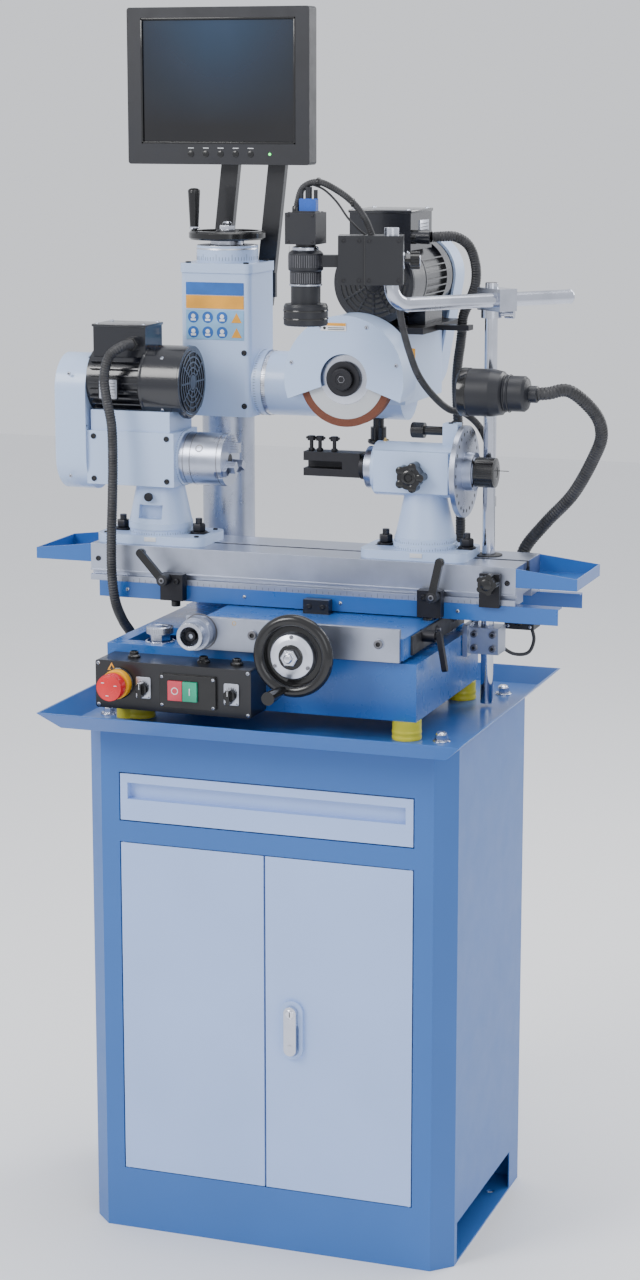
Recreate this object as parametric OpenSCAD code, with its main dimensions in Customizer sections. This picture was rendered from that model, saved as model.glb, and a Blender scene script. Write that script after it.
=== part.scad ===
// Tool grinding and sharpening machine on a cabinet stand, with a camera and a screen.
// Millimetres. X runs to the operator's right, Y away from the operator, Z up.
// The origin is the centre of the cabinet's footprint, on the floor.

/* [Cabinet] */
// Width of the cabinet
cabinet_w = 600; // [560:10:800]
// Depth of the cabinet
cabinet_d = 400; // [380:10:520]
// Height of the cabinet up to the tray
cabinet_h = 830; // [760:10:1000]
// Thickness of the cabinet's sheet steel
sheet_t = 2; // [1.5:0.5:3]
// Chamfer of the two front corners
corner_cut = 30; // [15:5:40]
// Width of the drawer and door openings
opening_w = 480; // [400:10:500]
// Height of the drawer opening
drawer_open_h = 78; // [60:2:100]
// Height of the door opening
door_open_h = 540; // [480:10:580]

/* [Tray and base] */
// Rise of the tray's flared lip
lip_h = 24; // [16:2:30]
// Outward flare of the tray's lip
lip_flare = 28; // [10:2:40]
// Height of the levelling feet
foot_h = 29; // [20:1:40]
// Width of the base casting
base_w = 500; // [460:4:540]
// Height of the base casting
base_h = 88; // [80:2:120]

/* [Slides] */
// Length of the table
table_len = 705; // [600:5:850]
// Depth of the table
table_d = 145; // [140:1:150]
// Height of the table
table_h = 59; // [50:1:70]
// Width of the table's T-slot
tslot_w = 12; // [10:1:14]
// Radius of both feed screws
screw_r = 6; // [4:0.5:7]
// Running clearance of turning pieces, on the radius
run_gap = 0.05; // [0.02:0.01:0.1]

/* [Column and grinding head] */
// Diameter of the column
column_dia = 86; // [70:1:94]
// Width and depth of the sliding tower
tower_w = 121; // [112:1:130]
// Height of the sliding tower
tower_h = 246; // [220:2:300]
// Diameter of the tilting arm
arm_dia = 104; // [90:1:110]
// Diameter of the grinding wheel
wheel_dia = 150; // [125:1:180]
// Thickness of the grinding wheel
wheel_t = 18; // [12:1:20]

/* [Workheads] */
// Height of the workhead axes above the table
head_rise = 135; // [125:1:165]
// Diameter of the three-jaw chuck
chuck_dia = 84; // [70:1:90]
// Diameter of the index disc
index_dia = 142; // [120:1:150]
// Diameter of the camera post
post_dia = 20; // [16:1:24]

/* [Hidden] */
$fn = 64;

fit_gap = 0.3;          // gap between sliding castings
eps = 0.01;             // overlap that makes a cut run clean through
handwheel_dia = 125;

// Heights, from the floor up
tray_t = 3;
tray_z = cabinet_h + tray_t;
base_z = tray_z + foot_h;
deck_z = base_z + base_h;
saddle_z = deck_z + 5;
saddle_top = saddle_z + 33;
table_z = deck_z + 65;
table_top = table_z + table_h;
axis_z = table_top + head_rise;
wheel_z = deck_z + 400;
motor_z = wheel_z + 143;
arm_z = wheel_z - 32;
tower_z = wheel_z - 84;
tower_top = tower_z + tower_h;

// Cabinet front
front_y = -cabinet_d / 2;
door_z = 100;
drawer_z = door_z + door_open_h + 33;
door_gap = 2;
door_t = 18;
hinge_inset = 4;
hinge_r = 2.5;
return_d = 22;
anchor_x = cabinet_w / 2 - 25;
anchor_y = 121;
anchor_r = 6;
fork_w = 302;
fork_h = 66;

// Base, saddle and table
base_x = -base_w / 2 - 15;
base_front = -180;
base_rear = 150;
way_x = [10, 130];
feed_x = 67;
feed_z = deck_z + 16;
knob_x = -105;
knob_z = saddle_top - 8;
pinion_r = 12;
table_x = -365;
table_front = -15;
table_rear = table_front + table_d;
slot_y = table_front + 70;
guard_bottom = table_z - 25;
rail_y = [30, 80];

// Column, tower and arm
col_x = -212;
col_y = 203;
col_r = column_dia / 2;
arm_r = arm_dia / 2;
spindle_x = 57;
motor_x = 83;
wheel_y = 20;
wheel_r = wheel_dia / 2;
guard_r = wheel_r + 22;

// Workheads and post
left_x = -272;
right_x = 176;
head_y = 55;
right_y = 50;
left_motor_z = axis_z + 121;
post_x = 268;
post_y = 86;
post_r = post_dia / 2;
post_foot = tray_z + 5;
tube_z = deck_z + 522;
tube_r = 11;
tube_turn = 52;          // direction of the tube's horizontal run, from +X
tube_offset = 26;        // from the post's axis to the tube's axis
tube_bend = 30;
camera_turn = 16;        // direction of the camera bracket, from +X

// ---- shared shapes ----

// Cylinder along +X, +Y or +Z from a point
module rod_x(p, l, r) { translate(p) rotate([0, 90, 0]) cylinder(h = l, r = r); }
module rod_y(p, l, r) { translate(p) rotate([-90, 0, 0]) cylinder(h = l, r = r); }
module rod_z(p, l, r) { translate(p) cylinder(h = l, r = r); }

// Box between two corners
module block(a, b) { translate(a) cube(b - a); }

// Upright box with its four vertical edges rounded
module round_box(a, b, r) {
    w = b[0] - a[0];
    d = b[1] - a[1];
    translate([a[0], a[1], a[2]]) linear_extrude(b[2] - a[2]) round_square(w, d, r);
}

// Rectangle from the origin with round corners
module round_square(w, d, r) {
    union() {
        translate([r, 0]) square([w - 2 * r, d]);
        translate([0, r]) square([w, d - 2 * r]);
        for (x = [r, w - r], y = [r, d - r]) translate([x, y]) circle(r);
    }
}

// Plate in the XZ plane with round corners, from y0 back over its thickness
module face_plate(x0, x1, z0, z1, y0, t, r) {
    translate([x0, y0 + t, z0]) rotate([90, 0, 0]) linear_extrude(t) round_square(x1 - x0, z1 - z0, r);
}

// Star knob with lobes along -Y, its back face at the point
module star_knob_y(p, r, t) {
    translate(p) rotate([90, 0, 0]) union() {
        cylinder(h = t, r = r * 0.78);
        for (a = [0 : 72 : 359]) rotate([0, 0, a]) translate([r * 0.72, 0, 0])
            cylinder(h = t, r = r * 0.28);
    }
}

// Hexagon prism along +Z
module hex_z(p, h, r) { translate(p) cylinder(h = h, r = r, $fn = 6); }

// Smooth tube through points: rings of flat sides, square to the route
function route_dir(p, i) =
    let (a = p[max(i - 1, 0)], b = p[min(i + 1, len(p) - 1)]) (b - a) / norm(b - a);
function side_of(d) =
    let (s = abs(d[1]) < 0.9 ? cross(d, [0, 1, 0]) : cross(d, [1, 0, 0])) s / norm(s);
module cord_tube(p, r, sides) {
    rings = [for (i = [0 : len(p) - 1])
        let (d = route_dir(p, i), u = side_of(d), v = cross(d, u))
        [for (k = [0 : sides - 1]) p[i] + r * (u * cos(360 * k / sides) + v * sin(360 * k / sides))]];
    points = [for (ring = rings) for (q = ring) q];
    walls = [for (i = [0 : len(p) - 2]) for (k = [0 : sides - 1])
        [i * sides + k, i * sides + (k + 1) % sides, (i + 1) * sides + (k + 1) % sides, (i + 1)
            * sides + k]];
    first = [for (k = [sides - 1 : -1 : 0]) k];
    last = [for (k = [0 : sides - 1]) (len(p) - 1) * sides + k];
    polyhedron(points, concat([first], walls, [last]), convexity = 6);
}

// Gooseneck: straight links between round joints
module gooseneck(p, r) {
    union() for (i = [0 : len(p) - 2]) {
        d = p[i + 1] - p[i];
        translate(p[i]) rotate([0, acos(d[2] / norm(d)), atan2(d[1], d[0])]) cylinder(h = norm(d), r = r);
        translate(p[i]) sphere(r = r + 0.8);
    }
}

// Catmull-Rom curve through hand-chosen points, n steps a span
function curve_at(a, b, c, d, t) =
    0.5 * (2 * b + (c - a) * t + (2 * a - 5 * b + 4 * c - d) * t * t + (3 * b - a - 3 * c + d) * t * t * t);
function smooth_route(p, n) = concat(
    [for (i = [0 : len(p) - 2]) for (s = [0 : n - 1])
        curve_at(p[max(i - 1, 0)], p[i], p[i + 1], p[min(i + 2, len(p) - 1)], s / n)],
    [p[len(p) - 1]]);

// ---- cord routes, points chosen by hand ----

left_conduit_route = [[-300, 12, 1392], [-300, 2, 1392], [-306, -14, 1390], [-322, -26, 1376],
    [-330, -30, 1345], [-326, -32, 1310], [-317, -34, 1268], [-314, -38, 1213], [-314, -42, 1150],
    [-315, -46, 1086], [-315, -46, 1030], [-314, -36, 985], [-313, -10, 950], [-312, 18, 925],
    [-311, 36, 900], [-311, 42, 880]];
motor_conduit_route = [[163, 118, 1562], [176, 122, 1563], [196, 134, 1562], [212, 150, 1548],
    [220, 160, 1520], [219, 166, 1490], [208, 170, 1460], [198, 172, 1438], [196, 172, 1416]];
head_conduit_route = [[195, 172, 1408], [193, 173, 1390], [189, 175, 1365], [187, 175, 1330],
    [190, 175, 1270],
    [194, 175, 1200], [196, 175, 1100], [196, 175, 1000], [196, 175, 900], [196, 175, 740]];
lamp_route = [[302, 152, 972], [303, 152, 1030], [308, 151, 1074], [345, 143, 1121], [393, 124, 1172],
    [432, 97, 1236], [447, 76, 1273], [441, 50, 1308], [410, 20, 1342], [380, 7, 1339], [344, 5, 1337]];
sleeve_route = [[28, -128, 1604], [30, -128, 1622], [38, -126, 1644], [60, -120, 1652], [86, -112, 1640],
    [108, -104, 1622], [124, -98, 1600], [134, -92, 1574]];
wire_route = [[46, -126, 1650], [66, -118, 1642], [84, -110, 1624], [100, -104, 1600], [114, -98, 1584],
    [126, -94, 1574]];
drop_route = [[164, -72, 1496], [166, -66, 1480], [170, -56, 1440], [176, -40, 1400], [182, -10, 1360],
    [190, 40, 1325], [202, 84, 1300], [222, 104, 1292], [246, 108, 1270], [262, 104, 1235],
    [268, 102, 1190], [268, 102, 1150]];

// ---- cabinet and stand ----

// Plan of the cabinet, moved inwards by t
module cabinet_plan(t) {
    w = cabinet_w / 2 - t;
    d = cabinet_d / 2;
    k = t * tan(22.5);
    polygon([[-w, d - t], [w, d - t], [w, -d + corner_cut + k], [cabinet_w / 2 - corner_cut - k, -d + t],
        [-cabinet_w / 2 + corner_cut + k, -d + t], [-w, -d + corner_cut + k]]);
}

// Folded return round an opening in the front
module front_return(z0, z1) {
    difference() {
        block([-opening_w / 2 - sheet_t, front_y, z0 - sheet_t],
            [opening_w / 2 + sheet_t, front_y + return_d, z1 + sheet_t]);
        block([-opening_w / 2, front_y - 1, z0], [opening_w / 2, front_y + return_d + 1, z1]);
    }
}

module cabinet_shell() {
    color("#4F7DB8") difference() {
        union() {
            difference() {
                linear_extrude(cabinet_h) cabinet_plan(0);
                translate([0, 0, -1]) linear_extrude(cabinet_h - sheet_t + 1) cabinet_plan(sheet_t);
            }
            // floor flange, bottom panel and middle shelf
            linear_extrude(3) difference() {
                cabinet_plan(0);
                square([cabinet_w - 120, cabinet_d - 120], center = true);
            }
            translate([0, 0, fork_h + 14]) linear_extrude(sheet_t) cabinet_plan(sheet_t / 2);
            block([-cabinet_w / 2 + 1, -120, 370], [cabinet_w / 2 - 1, cabinet_d / 2 - 1, 370 + sheet_t]);
            front_return(door_z, door_z + door_open_h);
            front_return(drawer_z, drawer_z + drawer_open_h);
            // drawer rails
            for (s = [-1, 1]) block([min(s * (opening_w / 2 - 28), s * (opening_w / 2 + 1)),
                front_y + return_d - 1, drawer_z + 1],
                [max(s * (opening_w / 2 - 28), s * (opening_w / 2 + 1)), cabinet_d / 2 - 1, drawer_z + 4]);
        }
        // front openings
        block([-opening_w / 2, front_y - 1, door_z],
            [opening_w / 2, front_y + return_d + 1, door_z + door_open_h]);
        block([-opening_w / 2, front_y - 1, drawer_z],
            [opening_w / 2, front_y + return_d + 1, drawer_z + drawer_open_h]);
        // fork slots in both sides
        block([-cabinet_w / 2 - 1, -fork_w / 2 - 5, 3], [cabinet_w / 2 + 1, fork_w / 2 - 5, fork_h]);
        // floor anchors
        for (x = [-anchor_x, anchor_x], y = [-anchor_y, anchor_y]) rod_z([x, y, -1], 5, anchor_r);
        // pin holes of the two doors
        for (s = [-1, 1], z = [door_z - sheet_t - 1, door_z + door_open_h - 1])
            rod_z([s * hinge_x, hinge_y, z], sheet_t + 2, hinge_r + run_gap);
        // passage of the head conduit and holes of the tray's bolts
        rod_z([196, 175, cabinet_h - 10], 20, 13);
        for (p = bolt_spots) rod_z([p[0], p[1], cabinet_h - 10], 20, 5);
    }
}

hinge_x = opening_w / 2 - door_gap - hinge_inset;
hinge_y = front_y + hinge_inset;

module tray() {
    w = cabinet_w / 2 + 7;
    d = cabinet_d / 2 + 64;
    color("#4F7DB8") difference() {
        hull() {
            block([-w, -d, cabinet_h], [w, d, tray_z]);
            block([-w - lip_flare, -d - lip_flare + 2, tray_z + lip_h - 1],
                [w + lip_flare, d + lip_flare - 2, tray_z + lip_h]);
        }
        hull() {
            block([-w + sheet_t, -d + sheet_t, tray_z], [w - sheet_t, d - sheet_t, tray_z + eps]);
            block([-w - lip_flare + sheet_t, -d - lip_flare + 4, tray_z + lip_h + 1],
                [w + lip_flare - sheet_t, d + lip_flare - 4, tray_z + lip_h + 2]);
        }
        rod_z([196, 175, cabinet_h - 10], 20, 13);
        for (p = bolt_spots) rod_z([p[0], p[1], cabinet_h - 1], 6, 5);
    }
}

bolt_spots = [[-270, -165], [270, -165], [-270, 176], [270, 176]];
foot_spots = [[-236, -165], [216, -165], [-236, 125], [216, 125]];

module base_casting() {
    wall = 12;
    pedestal_r = col_r + 13;
    color("#3C78C0") union() {
        difference() {
            union() {
                block([base_x, base_front, base_z], [base_x + base_w, base_rear, deck_z]);
                rod_z([col_x, col_y, base_z], base_h + 50, pedestal_r);
                block([col_x - pedestal_r, base_rear - 1, base_z], [col_x + pedestal_r, col_y, deck_z]);
                // two straight ways
                for (x = [way_x[0], way_x[1] - 36]) block([x, base_front + 6, deck_z - 1],
                    [x + 36, base_rear - 4, deck_z + 20]);
            }
            block([base_x + wall, base_front + wall, base_z - 1],
                [base_x + base_w - wall, base_rear - wall, deck_z - wall]);
            rod_z([col_x, col_y, base_z + 20], base_h + 60, col_r);
            // cable slot in the deck
            block([base_x + 22, -150, deck_z - wall - 1], [base_x + 92, -40, deck_z + 1]);
        }
        // cross feed nut between the ways
        difference() {
            block([feed_x - 12, -20, deck_z - 1], [feed_x + 12, 20, deck_z + 22]);
            rod_y([feed_x, -21, feed_z], 42, screw_r - 1 + run_gap);
        }
        // bosses over the feet
        for (p = foot_spots) rod_z([p[0], p[1], base_z], base_h - 5, wall);
    }
}

module feet_and_bolts() {
    color("gold") for (p = foot_spots) {
        rod_z([p[0], p[1], tray_z], foot_h, 22);
    }
    color("silver") for (p = bolt_spots) union() {
        rod_z([p[0], p[1], tray_z], 3, 12);
        hex_z([p[0], p[1], tray_z + 3], 8, 9.5);
        rod_z([p[0], p[1], tray_z - 12], 12.5, 4.9);
    }
    // ground clamp on the deck
    color("silver") union() {
        hex_z([-190, -148, deck_z], 14, 17);
        rod_z([-190, -148, deck_z + 14], 10, 21);
    }
}

module column() {
    color("silver") difference() {
        rod_z([col_x, col_y, base_z + 20], column_top - base_z - 20, col_r);
        rod_z([col_x, col_y, base_z + 19], column_top - base_z - 20 - 40, col_r - 12);
        rod_z([col_x, col_y, base_z + 19], column_top - base_z, screw_r + 2 + run_gap);
    }
}
column_top = tower_top - 72;

module drawer() {
    w = opening_w / 2 - door_gap;
    box_w = opening_w / 2 - 15;
    z0 = drawer_z + 2;
    z1 = drawer_z + drawer_open_h - 2;
    color("#AFC3DD") difference() {
        union() {
            block([-w, front_y, z0], [w, front_y + 18, z1]);
            block([-box_w, front_y + 17, drawer_z + 5], [box_w, cabinet_d / 2 - 50, z1 - 10]);
        }
        block([-box_w + 2, front_y + 19, drawer_z + 7], [box_w - 2, cabinet_d / 2 - 52, z1]);
        // pull groove along the front
        block([-w + 12, front_y - 1, z0 + 34], [w - 12, front_y + 14, z1 - 14]);
    }
}

// One door, mirrored for the other side: s is the side of its hinge
module door(s) {
    x0 = s * (opening_w / 2 - door_gap);
    x1 = s * 1.5;
    z0 = door_z + 1.5;
    z1 = door_z + door_open_h - 1.5;
    color("#AFC3DD") difference() {
        union() {
            block([min(x0, x1), front_y, z0], [max(x0, x1), front_y + door_t, z1]);
            rod_z([s * hinge_x, hinge_y, z0 - 3], z1 - z0 + 6, hinge_r);
        }
        block([min(x0, x1) + 8, front_y + 2, z0 + 8], [max(x0, x1) - 8, front_y + door_t + 1, z1 - 8]);
    }
}
module left_door() { door(-1); }

handle_x = 46;
handle_z = 366;
module right_door() {
    // lock housing and its fixed plate
    color("#AFC3DD") difference() {
        union() {
            door(1);
            face_plate(handle_x - 18, handle_x + 18, handle_z - 47, handle_z + 47, front_y - 6, 24, 17);
        }
        rod_y([handle_x, front_y - 7, handle_z + 28], 40, 5 + run_gap);
        face_hollow();
    }
}
module face_hollow() {
    face_plate(handle_x - 12, handle_x + 12, handle_z - 41, handle_z + 14, front_y - 7, 4, 11);
}

module door_handle() {
    color("lavender") union() {
        rod_y([handle_x, front_y - 12, handle_z + 28], 33, 5);
        face_plate(handle_x - 10, handle_x + 10, handle_z - 39, handle_z + 40, front_y - 15, 8, 9.9);
        // cam behind the door
        block([handle_x - 6, front_y + 18.5, handle_z + 20], [handle_x + 30, front_y + 21, handle_z + 36]);
    }
}

// ---- controls ----

box_x = [-256, -3];
box_y = [-245, base_front];
box_z = [deck_z - 87, deck_z - 13];
estop_x = -217;
control_z = deck_z - 51;

module control_box() {
    color("#26262B") difference() {
        union() {
            face_plate(box_x[0], box_x[1], box_z[0], box_z[1], box_y[0], box_y[1] - box_y[0], 4);
            // raised switch frame and the emergency stop's collar
            face_plate(-149, -58, control_z - 27, control_z + 24, box_y[0] - 5, 6, 3);
            rod_y([estop_x, box_y[0] - 16, control_z + 4], 17, 22);
        }
        face_plate(box_x[0] + 3, box_x[1] - 3, box_z[0] + 3, box_z[1] - 3, box_y[0] + 3,
            box_y[1] - box_y[0] - 6, 2);
        rod_y([estop_x, box_y[0] - 17, control_z + 4], 21, 12 + run_gap);
        for (x = [-177, -34]) rod_y([x, box_y[0] - 1, control_z - 1], 5, 5 + run_gap);
        for (x = [-134, -110]) block([x - 0.3, box_y[0] - 6, control_z - 15.3],
            [x + 23.3, box_y[0] + 5, control_z + 15.3]);
    }
}

module estop_button() {
    color("red") union() {
        rod_y([estop_x, box_y[0] - 22, control_z + 4], 32, 12);
        rod_y([estop_x, box_y[0] - 40, control_z + 4], 19, 20);
    }
}
module push_button(x) { block([x, box_y[0] - 9, control_z - 15], [x + 23, box_y[0] + 8, control_z + 15]); }
module off_button() { color("crimson") push_button(-134); }
module on_button() { color("seagreen") push_button(-110); }
module selector(x) {
    color("#26262B") union() {
        rod_y([x, box_y[0] - 8, control_z - 1], 14, 5);
        rod_y([x, box_y[0] - 12, control_z - 1], 9, 9);
        block([x - 3, box_y[0] - 18, control_z - 13], [x + 3, box_y[0] - 4, control_z + 9]);
    }
}
module selector_left() { selector(-177); }
module selector_right() { selector(-34); }

// ---- saddle ----

saddle_x = [-128, 216];
saddle_y = [-184, 125];
plate_t = 8;
module saddle() {
    color("#4E86C6") difference() {
        union() {
            block([saddle_x[0], saddle_y[0], saddle_z], [saddle_x[1], saddle_y[1], saddle_top]);
            // guide rail of the table
            block([-100, rail_y[0], saddle_top - 1], [190, rail_y[1], table_z + 12]);
            // centre stop
            block([6, table_front - 26, saddle_top - 1], [48, table_front - 8, saddle_top + 22]);
        }
        block([way_x[0] - fit_gap, saddle_y[0] - 1, saddle_z - 1],
            [way_x[1] + fit_gap, saddle_y[1] + 1, deck_z + 22 + fit_gap]);
        rod_y([knob_x, saddle_y[0] - 1, knob_z], saddle_y[1] - saddle_y[0] + 2, 4 + run_gap);
        block([knob_x - 18, 88, knob_z - 17], [knob_x + 18, 112, saddle_top + 1]);
        rod_x([saddle_x[1] - 15, -100, saddle_top - 10], 20, 5 + run_gap);
    }
}

module saddle_plate() {
    y0 = saddle_y[0] - plate_t;
    color("silver") difference() {
        union() {
            block([saddle_x[0], y0, saddle_z - 2], [saddle_x[1] - 4, saddle_y[0], saddle_top + 15]);
            for (x = [-20, 180]) rod_y([x, y0 - 2, saddle_top - 8], 3, 7);
        }
        rod_y([feed_x, y0 - 1, feed_z], plate_t + 2, 8 + run_gap);
        rod_y([knob_x, y0 - 1, knob_z], plate_t + 2, 4 + run_gap);
        for (x = [-20, 180]) hexhole_y([x, y0 - 3, saddle_top - 8]);
    }
}
module hexhole_y(p) { translate(p) rotate([-90, 30, 0]) cylinder(h = 4, r = 3.6, $fn = 6); }

module saddle_lock() {
    x = saddle_x[1];
    z = saddle_top - 10;
    color("#1E1E22") union() {
        rod_x([x - 15, -100, z], 15 + 32, 5);
        rod_x([x + fit_gap, -100, z], 24, 9);
        translate([x + 26, -100, z]) rotate([0, 80, 0]) union() {
            block([-6, -5, 0], [50, 5, 8]);
            rod_z([50, 0, 0], 8, 5);
        }
    }
}

// Handwheel along +Y with its front at the point: rim, web, hub and crank
module handwheel_y(p, crank_turn) {
    r = handwheel_dia / 2;
    translate(p) rotate([-90, 0, 0]) union() {
        rotate_extrude() union() {
            translate([r - 9, 10]) circle(9);
            polygon([[10, 12], [r - 9, 14], [r - 9, 20], [10, 22]]);
            polygon([[0, 0], [9, 0], [17, 6], [20, 30], [0, 30]]);
        }
        rotate([0, 0, crank_turn]) union() {
            rod_z([r - 10, 0, -10], 22, 5);
            translate([r - 10, 0, -62]) cylinder(h = 54, r1 = 10, r2 = 7.5);
        }
    }
}

module cross_handwheel() {
    y0 = saddle_y[0] - plate_t;
    color("#1E1E22") union() {
        handwheel_y([feed_x, y0 - 70, feed_z], 105);
        rod_y([feed_x, y0 - 41, feed_z], 41 - fit_gap, 24);
        rod_y([feed_x, y0 - 42, feed_z], 42 + plate_t, 8);
        rod_y([feed_x, y0 + plate_t, feed_z], 250, screw_r - 1);
    }
}

module table_knob() {
    y0 = saddle_y[0] - plate_t;
    color("silver") union() {
        difference() {
            rod_y([knob_x, y0 - 44, knob_z], 44 - fit_gap, 21);
            rod_y([knob_x, y0 - 45, knob_z], 16, 15);
        }
        rod_y([knob_x, y0 - 24, knob_z], 14, 25);
        rod_y([knob_x, y0 - 38, knob_z], 340, 4);
        // pinion under the table
        translate([knob_x, 104, knob_z]) rotate([90, 0, 0]) linear_extrude(12) pinion_plan();
    }
}

// Pinion of 16 teeth, module 1.5, one tooth straight up
module pinion_plan() {
    union() {
        circle(pinion_r - 2);
        for (i = [0 : 15]) rotate([0, 0, i * 22.5])
            polygon([[-1.5, pinion_r - 3], [1.5, pinion_r - 3], [0.5, pinion_r + 1.2],
                [-0.5, pinion_r + 1.2]]);
    }
}

// ---- table ----

tooth_pitch = 2 * PI * 1.5 / 2;
module table_rack() {
    y0 = 93;
    pitch_z = knob_z + pinion_r;
    for (i = [-9 : 22]) {
        x = knob_x + (i + 0.5) * tooth_pitch;
        translate([x, y0 + 10, pitch_z]) rotate([90, 0, 0]) linear_extrude(10)
            polygon([[-0.5, -1.2], [0.5, -1.2], [1.5, 2.6], [-1.5, 2.6]]);
    }
    block([knob_x - 9 * tooth_pitch, y0, pitch_z + 2.5], [knob_x + 23 * tooth_pitch, y0 + 10, table_z + 1]);
}

module table() {
    x1 = table_x + table_len;
    color("#B9BBC0") union() {
        table_rack();
        difference() {
            union() {
                block([table_x, table_front, table_z], [x1, table_rear, table_top]);
                block([table_x, table_front - 2, table_z], [x1, table_front + 1, table_z + 18]);
            }
            block([table_x - 1, rail_y[0] - fit_gap, table_z - 1],
                [x1 + 1, rail_y[1] + fit_gap, table_z + 12 + fit_gap]);
            // T-slots on top and in front
            block([table_x - 1, slot_y - tslot_w / 2, table_top - 20],
                [x1 + 1, slot_y + tslot_w / 2, table_top + 1]);
            block([table_x - 1, slot_y - tslot_w / 2 - 5, table_top - 20],
                [x1 + 1, slot_y + tslot_w / 2 + 5, table_top - 10]);
            block([table_x - 1, table_front - 3, table_z + 9], [x1 + 1, table_front + 8, table_z + 16]);
            rod_z([post_x, post_y, table_z - 1], table_h + 2, post_r + 6);
        }
    }
}

// End tray: s is the side it stands on
module end_tray(s) {
    x0 = s < 0 ? table_x : table_x + table_len;
    x1 = x0 + s * 96;
    z0 = table_top - 30;
    profile = [[x0, z0], [x1, z0], [x1, z0 + 18], [x0, z0 + 29]];
    union() {
        block([min(x0, x1), table_front, z0], [max(x0, x1), table_rear, z0 + 2]);
        block([min(x1, x1 - s * 2), table_front, z0], [max(x1, x1 - s * 2), table_rear, z0 + 18]);
        for (y = [table_front + 2, table_rear]) translate([0, y, 0]) rotate([90, 0, 0])
            linear_extrude(2) polygon(profile);
    }
}

module table_guards() {
    x0 = table_x + 16;
    x1 = table_x + table_len + 68;
    color("#3C78C0") {
        end_tray(-1);
        end_tray(1);
        // folded strips under the front and the rear edge
        for (s = [[table_front - 4, table_front - 2, table_front - 3, table_front + 20],
            [table_rear + 2, table_rear + 4, table_rear - 12, table_rear + 3]]) difference() {
            union() {
                block([x0, s[0], guard_bottom], [x1, s[1], table_z]);
                block([x0, s[2], table_z - 2], [x1, s[3], table_z]);
            }
            rod_z([post_x, post_y, table_z - 30], 40, post_r + 6);
        }
    }
}

stop_z = table_z + 12.5;
stop_y = table_front - 4;
module table_stops() {
    color("#26262B") {
        for (x = [-236, 190]) difference() {
            union() {
                block([x, stop_y - 18, table_z - 22], [x + 38, stop_y, table_z + 20]);
                block([x + 6, stop_y - 1, table_z + 9.5], [x + 32, stop_y + 10, table_z + 15.5]);
            }
            rod_y([x + (x < 0 ? 10 : 28), stop_y - 19, stop_z], 12, 5 + run_gap);
        }
        // clamping plate of the guard
        difference() {
            union() {
                block([286, stop_y - 9, table_z - 2], [318, stop_y, table_z + 50]);
                block([290, stop_y - 1, table_z + 9.5], [314, stop_y + 10, table_z + 15.5]);
            }
            rod_y([302, stop_y - 10, table_z + 36], 12, 5 + run_gap);
        }
    }
}

// Clamping lever on a screw, its arm leaning by turn
module clamp_lever(x, turn) {
    color("#1E1E22") union() {
        rod_y([x, stop_y - 18 - 16, stop_z], 16 + 10, 5);
        rod_y([x, stop_y - 18 - 18, stop_z], 18 - fit_gap, 9);
        translate([x, stop_y - 36, stop_z]) rotate([0, turn, 0]) union() {
            block([-6, 0, 0], [6, 8, 56]);
            translate([0, 0, 56]) rod_y([0, 0, 0], 8, 6);
        }
    }
}
module left_stop_lever() { clamp_lever(-226, -42); }
module right_stop_lever() { clamp_lever(218, 12); }
module table_clamp_knob() {
    color("#1E1E22") union() {
        rod_y([302, stop_y - 20, table_z + 36], 21, 5);
        star_knob_y([302, stop_y - 9 - fit_gap, table_z + 36], 17, 18);
    }
}

clamp_z = deck_z - 30;
module post_clamp() {
    color("silver") difference() {
        union() {
            block([post_x - 24, post_y - 22, clamp_z], [post_x + 24, post_y + 20, clamp_z + 42]);
            block([post_x - 32, post_y - 30, clamp_z - 4], [post_x - 24, post_y + 26, clamp_z + 46]);
            block([post_x - 32, post_y + 18, clamp_z + 20], [post_x - 20, post_y + 26, table_z]);
            for (x = [-15, 15], z = [10, 32]) rod_y([post_x + x, post_y - 24, clamp_z + z], 3, 5);
        }
        rod_z([post_x, post_y, clamp_z - 1], 50, post_r + run_gap);
    }
}

// Base plate, graduated ring and T-bolts of one workhead
module head_base(x, y, right_end) {
    color("lightsteelblue") difference() {
        union() {
            round_box([x - 93, y - 55, table_top], [right_end, y + 55, table_top + 14], 20);
            rod_z([x, y, table_top + 13], 9, 50);
        }
        rod_z([x, y, table_top - 1], 24, 18 + run_gap);
        for (s = [-66, 66]) rod_z([x + s, slot_y, table_top - 1], 16, 6);
    }
    color("#26262B") for (s = [-66, 66]) union() {
        rod_z([x + s, slot_y, table_top - 12], 50, 5.5);
        block([x + s - 9, slot_y - 10, table_top - 19], [x + s + 9, slot_y + 10, table_top - 11]);
        rod_z([x + s, slot_y, table_top + 14], 3, 13);
        hex_z([x + s, slot_y, table_top + 17], 12, 10);
    }
}
module left_base() { head_base(left_x, head_y, left_x + 93); }

module lamp() {
    color("#26262B") {
        union() {
            block([282, table_rear + 4, table_z - 66], [330, table_rear + 44, table_z - 30]);
            block([290, table_rear + 4, table_z - 31], [312, table_rear + 8, table_z]);
        }
        gooseneck(smooth_route(lamp_route, 2), 8.5);
        translate([355, 5, 1337]) rotate([0, -90, 0]) rotate_extrude()
            polygon([[0, 0], [7, 0], [24, 6], [27, 10], [27, 40], [33, 44], [36, 60], [36, 108],
                [32, 112], [31, 100], [0, 100]]);
    }
}

// ---- post and optics ----

along = [cos(tube_turn), sin(tube_turn), 0];
cross_p = [post_x + tube_offset * sin(tube_turn), post_y - tube_offset * cos(tube_turn), tube_z];
stem_p = cross_p - 203 * along;

module camera_post() {
    color("silver") rod_z([post_x, post_y, post_foot], tube_z + 24 - post_foot, post_r);
}

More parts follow.
